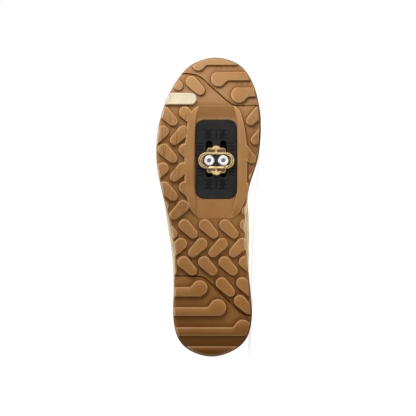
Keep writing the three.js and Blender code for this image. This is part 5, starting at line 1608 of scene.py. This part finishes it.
def sweep(path, wide, thick, sides, upward):  # a closed tube along a path, flat ends
    along = np.gradient(path, axis=0)
    along /= np.linalg.norm(along, axis=1, keepdims=True)
    across = np.cross(upward, along)
    across /= np.linalg.norm(across, axis=1, keepdims=True)
    for k in range(1, len(path)):
        if np.dot(across[k], across[k - 1]) < 0:
            across[k] = -across[k]
    over = np.cross(along, across)
    turns = np.arange(sides) * 2 * math.pi / sides
    points = (path[:, None] + across[:, None] * np.cos(turns)[None, :, None] * wide / 2
              + over[:, None] * np.sin(turns)[None, :, None] * thick / 2)
    return points


def makeLaces():
    points, faces, u, v = [], [], [], []
    pairs = eyeletPairs
    runs = [(pairs[-1][0], pairs[-1][1], 0)]
    for i in range(len(pairs) - 1):
        runs += [(pairs[i + 1][0], pairs[i][1], 1), (pairs[i + 1][1], pairs[i][0], -1)]
    for number, (start, end, side) in enumerate(runs):
        path = lacePath(start, end, side)
        if number:
            hump = np.exp(-((np.linspace(0, 1, len(path)) - 0.5) / 0.12) ** 2)
            path[:, 2] += (lace["thick"] * 0.62 if side > 0 else -0.25) * hump
        upward = np.array([start["normal"] * (1 - t) + end["normal"] * t for t in np.linspace(0, 1, len(path))])
        upward[:, 2] += 0.6
        tube = sweep(path, lace["wide"], lace["thick"], lace["sides"], upward)
        first = len(points) and sum(len(p) for p in points)
        points.append(tube.reshape(-1, 3))
        faces += [tuple(first + k for k in face) for face in gridFaces(len(path), lace["sides"], True)]
        faces.append(tuple(first + k for k in range(lace["sides"]))[::-1])
        faces.append(tuple(first + (len(path) - 1) * lace["sides"] + k for k in range(lace["sides"])))
        length = np.concatenate([[0], np.cumsum(np.linalg.norm(np.diff(path, axis=0), axis=1))])
        u.append(np.tile(np.arange(lace["sides"]) * 9.0 / lace["sides"], len(path)))
        v.append(np.repeat(length, lace["sides"]))
    piece = newPiece("braided_laces", np.concatenate(points), faces, makeCord(), ["laces"], sharp=60)
    giveMap(piece, np.concatenate(u), np.concatenate(v))
    return piece


lacePiece = makeLaces()
print("laces", len(lacePiece.data.polygons))

# Polyester thread, waxed: cream, tight twist, a soft glint; stitches 2.6 mm apart
thread = {"base": "#efe6cc", "roughness": 0.5}
stitch = {"pitch": 2.7, "long": 2.0, "wide": 0.62, "high": 0.5}


def makeThread():
    material, tree, shader = newMaterial("waxed thread", {"Roughness": thread["roughness"], "IOR": 1.5,
                                                          "Sheen Weight": 0.2})
    place = addNode(tree, "ShaderNodeTexCoord").outputs["Object"]
    twist = addNode(tree, "ShaderNodeTexNoise", {"Scale": 1500.0, "Detail": 2.0}, {"Vector": place}).outputs["Fac"]
    colour = mixColours(tree, srgb(thread["base"]), srgb("#cdbf9c"), spread(tree, twist, 0.45, 0.75))
    tree.links.new(colour, shader.inputs["Base Color"])
    return material


def alongPathTree(name, shapeOf):  # instances of a shape, evenly along a path, turned to it and to its "outward"
    tree = bpy.data.node_groups.new(name, "GeometryNodeTree")
    face = tree.interface
    face.new_socket("Geometry", in_out="INPUT", socket_type="NodeSocketGeometry")
    for label in ("Pitch", "Long", "Wide", "High"):
        face.new_socket(label, in_out="INPUT", socket_type="NodeSocketFloat")
    face.new_socket("Material", in_out="INPUT", socket_type="NodeSocketMaterial")
    face.new_socket("Geometry", in_out="OUTPUT", socket_type="NodeSocketGeometry")
    given = addNode(tree, "NodeGroupInput")
    line = addNode(tree, "GeometryNodeMeshToCurve", {}, {"Mesh": given.outputs["Geometry"]})
    spaced = addNode(tree, "GeometryNodeResampleCurve", {"mode": "LENGTH"},
                     {"Curve": line.outputs["Curve"], "Length": given.outputs["Pitch"]})
    tangent = addNode(tree, "GeometryNodeInputTangent").outputs["Tangent"]
    outward = addNode(tree, "GeometryNodeInputNamedAttribute", {"data_type": "FLOAT_VECTOR", "Name": "outward"})
    first = addNode(tree, "FunctionNodeAlignRotationToVector", {"axis": "X"}, {"Vector": tangent})
    second = addNode(tree, "FunctionNodeAlignRotationToVector", {"axis": "Z", "pivot_axis": "X"},
                     {"Rotation": first.outputs["Rotation"], "Vector": outward.outputs["Attribute"]})
    size = addNode(tree, "ShaderNodeCombineXYZ", {}, {"X": given.outputs["Long"], "Y": given.outputs["Wide"],
                                                      "Z": given.outputs["High"]})
    placed = addNode(tree, "GeometryNodeInstanceOnPoints", {},
                     {"Points": spaced.outputs["Curve"], "Instance": shapeOf(tree), "Rotation": second.outputs["Rotation"],
                      "Scale": size.outputs["Vector"]})
    real = addNode(tree, "GeometryNodeRealizeInstances", {}, {"Geometry": placed.outputs["Instances"]})
    even = addNode(tree, "GeometryNodeSetShadeSmooth", {}, {"Geometry": real.outputs["Geometry"]})
    dressed = addNode(tree, "GeometryNodeSetMaterial", {}, {"Geometry": even.outputs["Geometry"],
                                                            "Material": given.outputs["Material"]})
    result = addNode(tree, "NodeGroupOutput")
    tree.links.new(dressed.outputs["Geometry"], result.inputs["Geometry"])
    return tree


def roundedStitch(tree):
    return addNode(tree, "GeometryNodeMeshUVSphere", {"Segments": 6, "Rings": 5, "Radius": 0.5}).outputs["Mesh"]


def alongPaths(name, tree, paths, sizes, material):  # paths: points in mm and their outward directions
    points, edges, outward = [], [], []
    for path, away in paths:
        start = len(points)
        points += [tuple(p) for p in lie(path)]
        outward += [tuple(turn @ a) for a in away]
        edges += [(start + k, start + k + 1) for k in range(len(path) - 1)]
    mesh = bpy.data.meshes.new(name)
    mesh.from_pydata(points, edges, [])
    layer = mesh.attributes.new("outward", "FLOAT_VECTOR", "POINT")
    layer.data.foreach_set("vector", np.array(outward).ravel())
    piece = bpy.data.objects.new(name, mesh)
    bpy.context.scene.collection.objects.link(piece)
    maker = piece.modifiers.new(name, "NODES")
    maker.node_group = tree
    wanted = dict(zip(("Pitch", "Long", "Wide", "High"), [value / 1000 for value in sizes]), Material=material)
    for item in tree.interface.items_tree:
        if item.in_out == "INPUT" and item.name in wanted:
            maker[item.identifier] = wanted[item.name]
    settle(piece)
    return dress(piece, [])


stitchTree = alongPathTree("stitches along a path", roundedStitch)
threadMaterial = makeThread()


def upperPath(shares, ups, lift):
    shares, ups = np.asarray(shares, float), np.asarray(ups, float)
    crease = creaseAt(shares, ups, ribPoint(shares, ups))
    return upperPoint(shares, ups, stepAt(shares, ups) - crease + lift), ribNormal(shares, ups)


def stitchPaths():
    paths = []
    for shares, top in ((toeShares, toeTop), (heelShares, heelTop)):
        keep = slice(8, -8)
        for inward in (0.028, 0.052):
            ups = np.maximum(top - inward, 0.01)
            paths.append(upperPath(shares[keep], ups[keep], gap + last["overlay"] + 0.05))
    front = np.linspace(0.232, 0.768, 240)
    for up in (0.825, 0.85):
        paths.append(upperPath(front, np.full(240, up), 0.08))
    collarLine = np.linspace(-0.225, 0.225, 200)
    for up in (0.72,):
        paths.append(upperPath(collarLine, np.full(200, up), 0.08))
    for share in (0.0, ):
        ups = np.linspace(0.66, 0.92, 60)
        for side in (-0.006, 0.006):
            paths.append(upperPath(np.full(60, share + side), ups, 0.08))
    quarter = np.linspace(0.02, 0.8, 60)
    for sign in (1, -1):
        for aside in (0, 0.004):
            paths.append(upperPath(sign * (0.205 + aside + 0.03 * quarter), 0.05 + 0.72 * np.linspace(0, 1, 60), 0.08))
    return paths


stitchPiece = alongPaths("thread_stitches", stitchTree, stitchPaths(),
                         (stitch["pitch"], stitch["long"], stitch["wide"], stitch["high"]), threadMaterial)
print("stitches", len(stitchPiece.data.polygons))

# Punched eyelets get a thin pressed ring each, a lathe shape instanced on the eyelet's place
eyeletRing = {"outer": 3.7, "inner": 2.25, "high": 0.7, "sides": 28, "round": 8}


def makeRings():
    size = eyeletRing
    middle, reach = (size["outer"] + size["inner"]) / 2, (size["outer"] - size["inner"]) / 2
    mesh = bpy.data.meshes.new("ring")
    points, sides, roundSteps = [], size["sides"], size["round"]
    for k in range(sides):
        a = 2 * math.pi * k / sides
        for j in range(roundSteps):
            b = 2 * math.pi * j / roundSteps
            radius = middle + reach * math.cos(b)
            points.append((radius * math.cos(a) / 1000, radius * math.sin(a) / 1000, size["high"] * math.sin(b) / 1000))
    faces = [(k * roundSteps + j, (k + 1) % sides * roundSteps + j, (k + 1) % sides * roundSteps + (j + 1) % roundSteps,
              k * roundSteps + (j + 1) % roundSteps) for k in range(sides) for j in range(roundSteps)]
    mesh.from_pydata(points, [], faces)
    ringShape = bpy.data.objects.new("ring", mesh)

    def shapeOf(tree):
        return addNode(tree, "GeometryNodeObjectInfo", {"Object": ringShape}).outputs["Geometry"]

    tree = alongPathTree("rings on eyelets", shapeOf)
    paths = []
    for pair in eyeletPairs:
        for eyelet in pair:
            across = np.array(Vector(eyelet["normal"]).orthogonal().normalized())
            centre = eyelet["point"] + eyelet["normal"] * 0.15
            paths.append((np.array([centre - across * 0.01, centre + across * 0.01]), [eyelet["normal"]] * 2))
    return alongPaths("pressed_eyelet_rings", tree, paths, (1000, 1000, 1000, 1000), film)


ringPiece = makeRings()
print("eyelet rings", len(ringPiece.data.polygons))


# Stage, light and camera
view = {"mmPerPixel": 0.99, "pixels": 416, "centre": (147.5, -4.95), "depth": 8, "distance": 5000}


def aim(thing, place, target, up=Vector((0, 0, 1))):
    ahead = (Vector(target) - Vector(place)).normalized()
    right = ahead.cross(up).normalized()
    thing.matrix_world = Matrix.Translation(place) @ Matrix((right, right.cross(ahead), -ahead)).transposed().to_4x4()


def makeCamera():
    camera = bpy.data.cameras.new("camera")
    camera.sensor_width = 36
    camera.lens = 36 * view["distance"] / (view["mmPerPixel"] * view["pixels"])
    camera.clip_end = 50
    holder = bpy.data.objects.new("camera", camera)
    bpy.context.scene.collection.objects.link(holder)
    place, target = lie([(*view["centre"], view["depth"] - view["distance"]), (*view["centre"], view["depth"])])
    aim(holder, place, target, Vector(turn @ np.array((1, 0, 0))))
    bpy.context.scene.camera = holder


def addLamp(name, place, target, size, power, colour, length=0):
    lamp = bpy.data.lights.new(name, "AREA")
    lamp.shape = "ELLIPSE" if length else "DISK"
    lamp.size = size
    if length:
        lamp.size_y = length
    lamp.energy = power
    lamp.color = colour
    holder = bpy.data.objects.new(name, lamp)
    bpy.context.scene.collection.objects.link(holder)
    aim(holder, place, target, Vector((1, 0, 0)) if length else Vector((0.1, 0.2, 1)))


def addSky():  # an even overhead light, as from a studio's ceiling
    lamp = bpy.data.lights.new("ceiling", "SUN")
    lamp.energy = 1.6
    lamp.angle = math.radians(50)
    holder = bpy.data.objects.new("ceiling", lamp)
    bpy.context.scene.collection.objects.link(holder)
    holder.location = (0, 0, 2)


def makeStage():
    mesh = bpy.data.meshes.new("floor")
    reach = 9
    mesh.from_pydata([(-reach, -reach, 0), (reach, -reach, 0), (reach, reach, 0), (-reach, reach, 0)], [], [(0, 1, 2, 3)])
    floor = bpy.data.objects.new("floor", mesh)
    bpy.context.scene.collection.objects.link(floor)
    material, tree, shader = newMaterial("plain pale floor", {
        "Base Color": (0.4, 0.4, 0.4, 1), "Roughness": 0.9, "Emission Color": (1, 1, 1, 1), "Emission Strength": 0.78})
    dim = addNode(tree, "ShaderNodeBsdfDiffuse", {"Color": (0.5, 0.5, 0.5, 1)})
    direct = addNode(tree, "ShaderNodeLightPath").outputs["Is Camera Ray"]
    blend = addNode(tree, "ShaderNodeMixShader")
    tree.links.new(direct, blend.inputs[0])
    tree.links.new(dim.outputs[0], blend.inputs[1])
    tree.links.new(shader.outputs[0], blend.inputs[2])
    output = next(node for node in tree.nodes if node.bl_idname == "ShaderNodeOutputMaterial")
    tree.links.new(blend.outputs[0], output.inputs["Surface"])
    mesh.materials.append(material)
    floor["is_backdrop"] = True
    world = bpy.data.worlds.new("studio")
    bpy.context.scene.world = world
    world.use_nodes = True
    tree = world.node_tree
    tree.nodes.clear()
    soft = addNode(tree, "ShaderNodeBackground", {"Color": (1, 1, 1, 1), "Strength": 0.18})
    white = addNode(tree, "ShaderNodeBackground", {"Color": (1, 1, 1, 1), "Strength": 1.0})
    seen = addNode(tree, "ShaderNodeLightPath").outputs["Is Camera Ray"]
    mix = addNode(tree, "ShaderNodeMixShader")
    tree.links.new(seen, mix.inputs[0])
    tree.links.new(soft.outputs[0], mix.inputs[1])
    tree.links.new(white.outputs[0], mix.inputs[2])
    output = addNode(tree, "ShaderNodeOutputWorld")
    tree.links.new(mix.outputs[0], output.inputs["Surface"])


bpy.context.scene.view_settings.view_transform = "Standard"
makeCamera()
makeStage()
keyAt, keyTo = lie([(465, -90, -250), (190, 0, 0)])
addLamp("key", keyAt, keyTo, 0.2, 1.14, (1, 1, 1))
addLamp("front", (0, -1.35, 0.08), (0, 0, 0.06), 0.6, 1.7, (1, 1, 1))
addLamp("under", (-0.03, -0.033, 0.0006), (-0.03, -0.033, 0.1), 0.014, 0.036, (1, 1, 1), 0.11)
addLamp("low", (-0.03, -0.1, 0.0006), (-0.03, -0.045, 0.016), 0.02, 0.02, (1, 1, 1), 0.22)
addLamp("back", (0.1, 1.2, 0.9), (0, 0.05, 0.05), 0.8, 8, (1, 1, 1))
addSky()
print("stage")

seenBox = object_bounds()
[[list(map(float, corner)) for corner in box] for box in (cadBox, seenBox)]
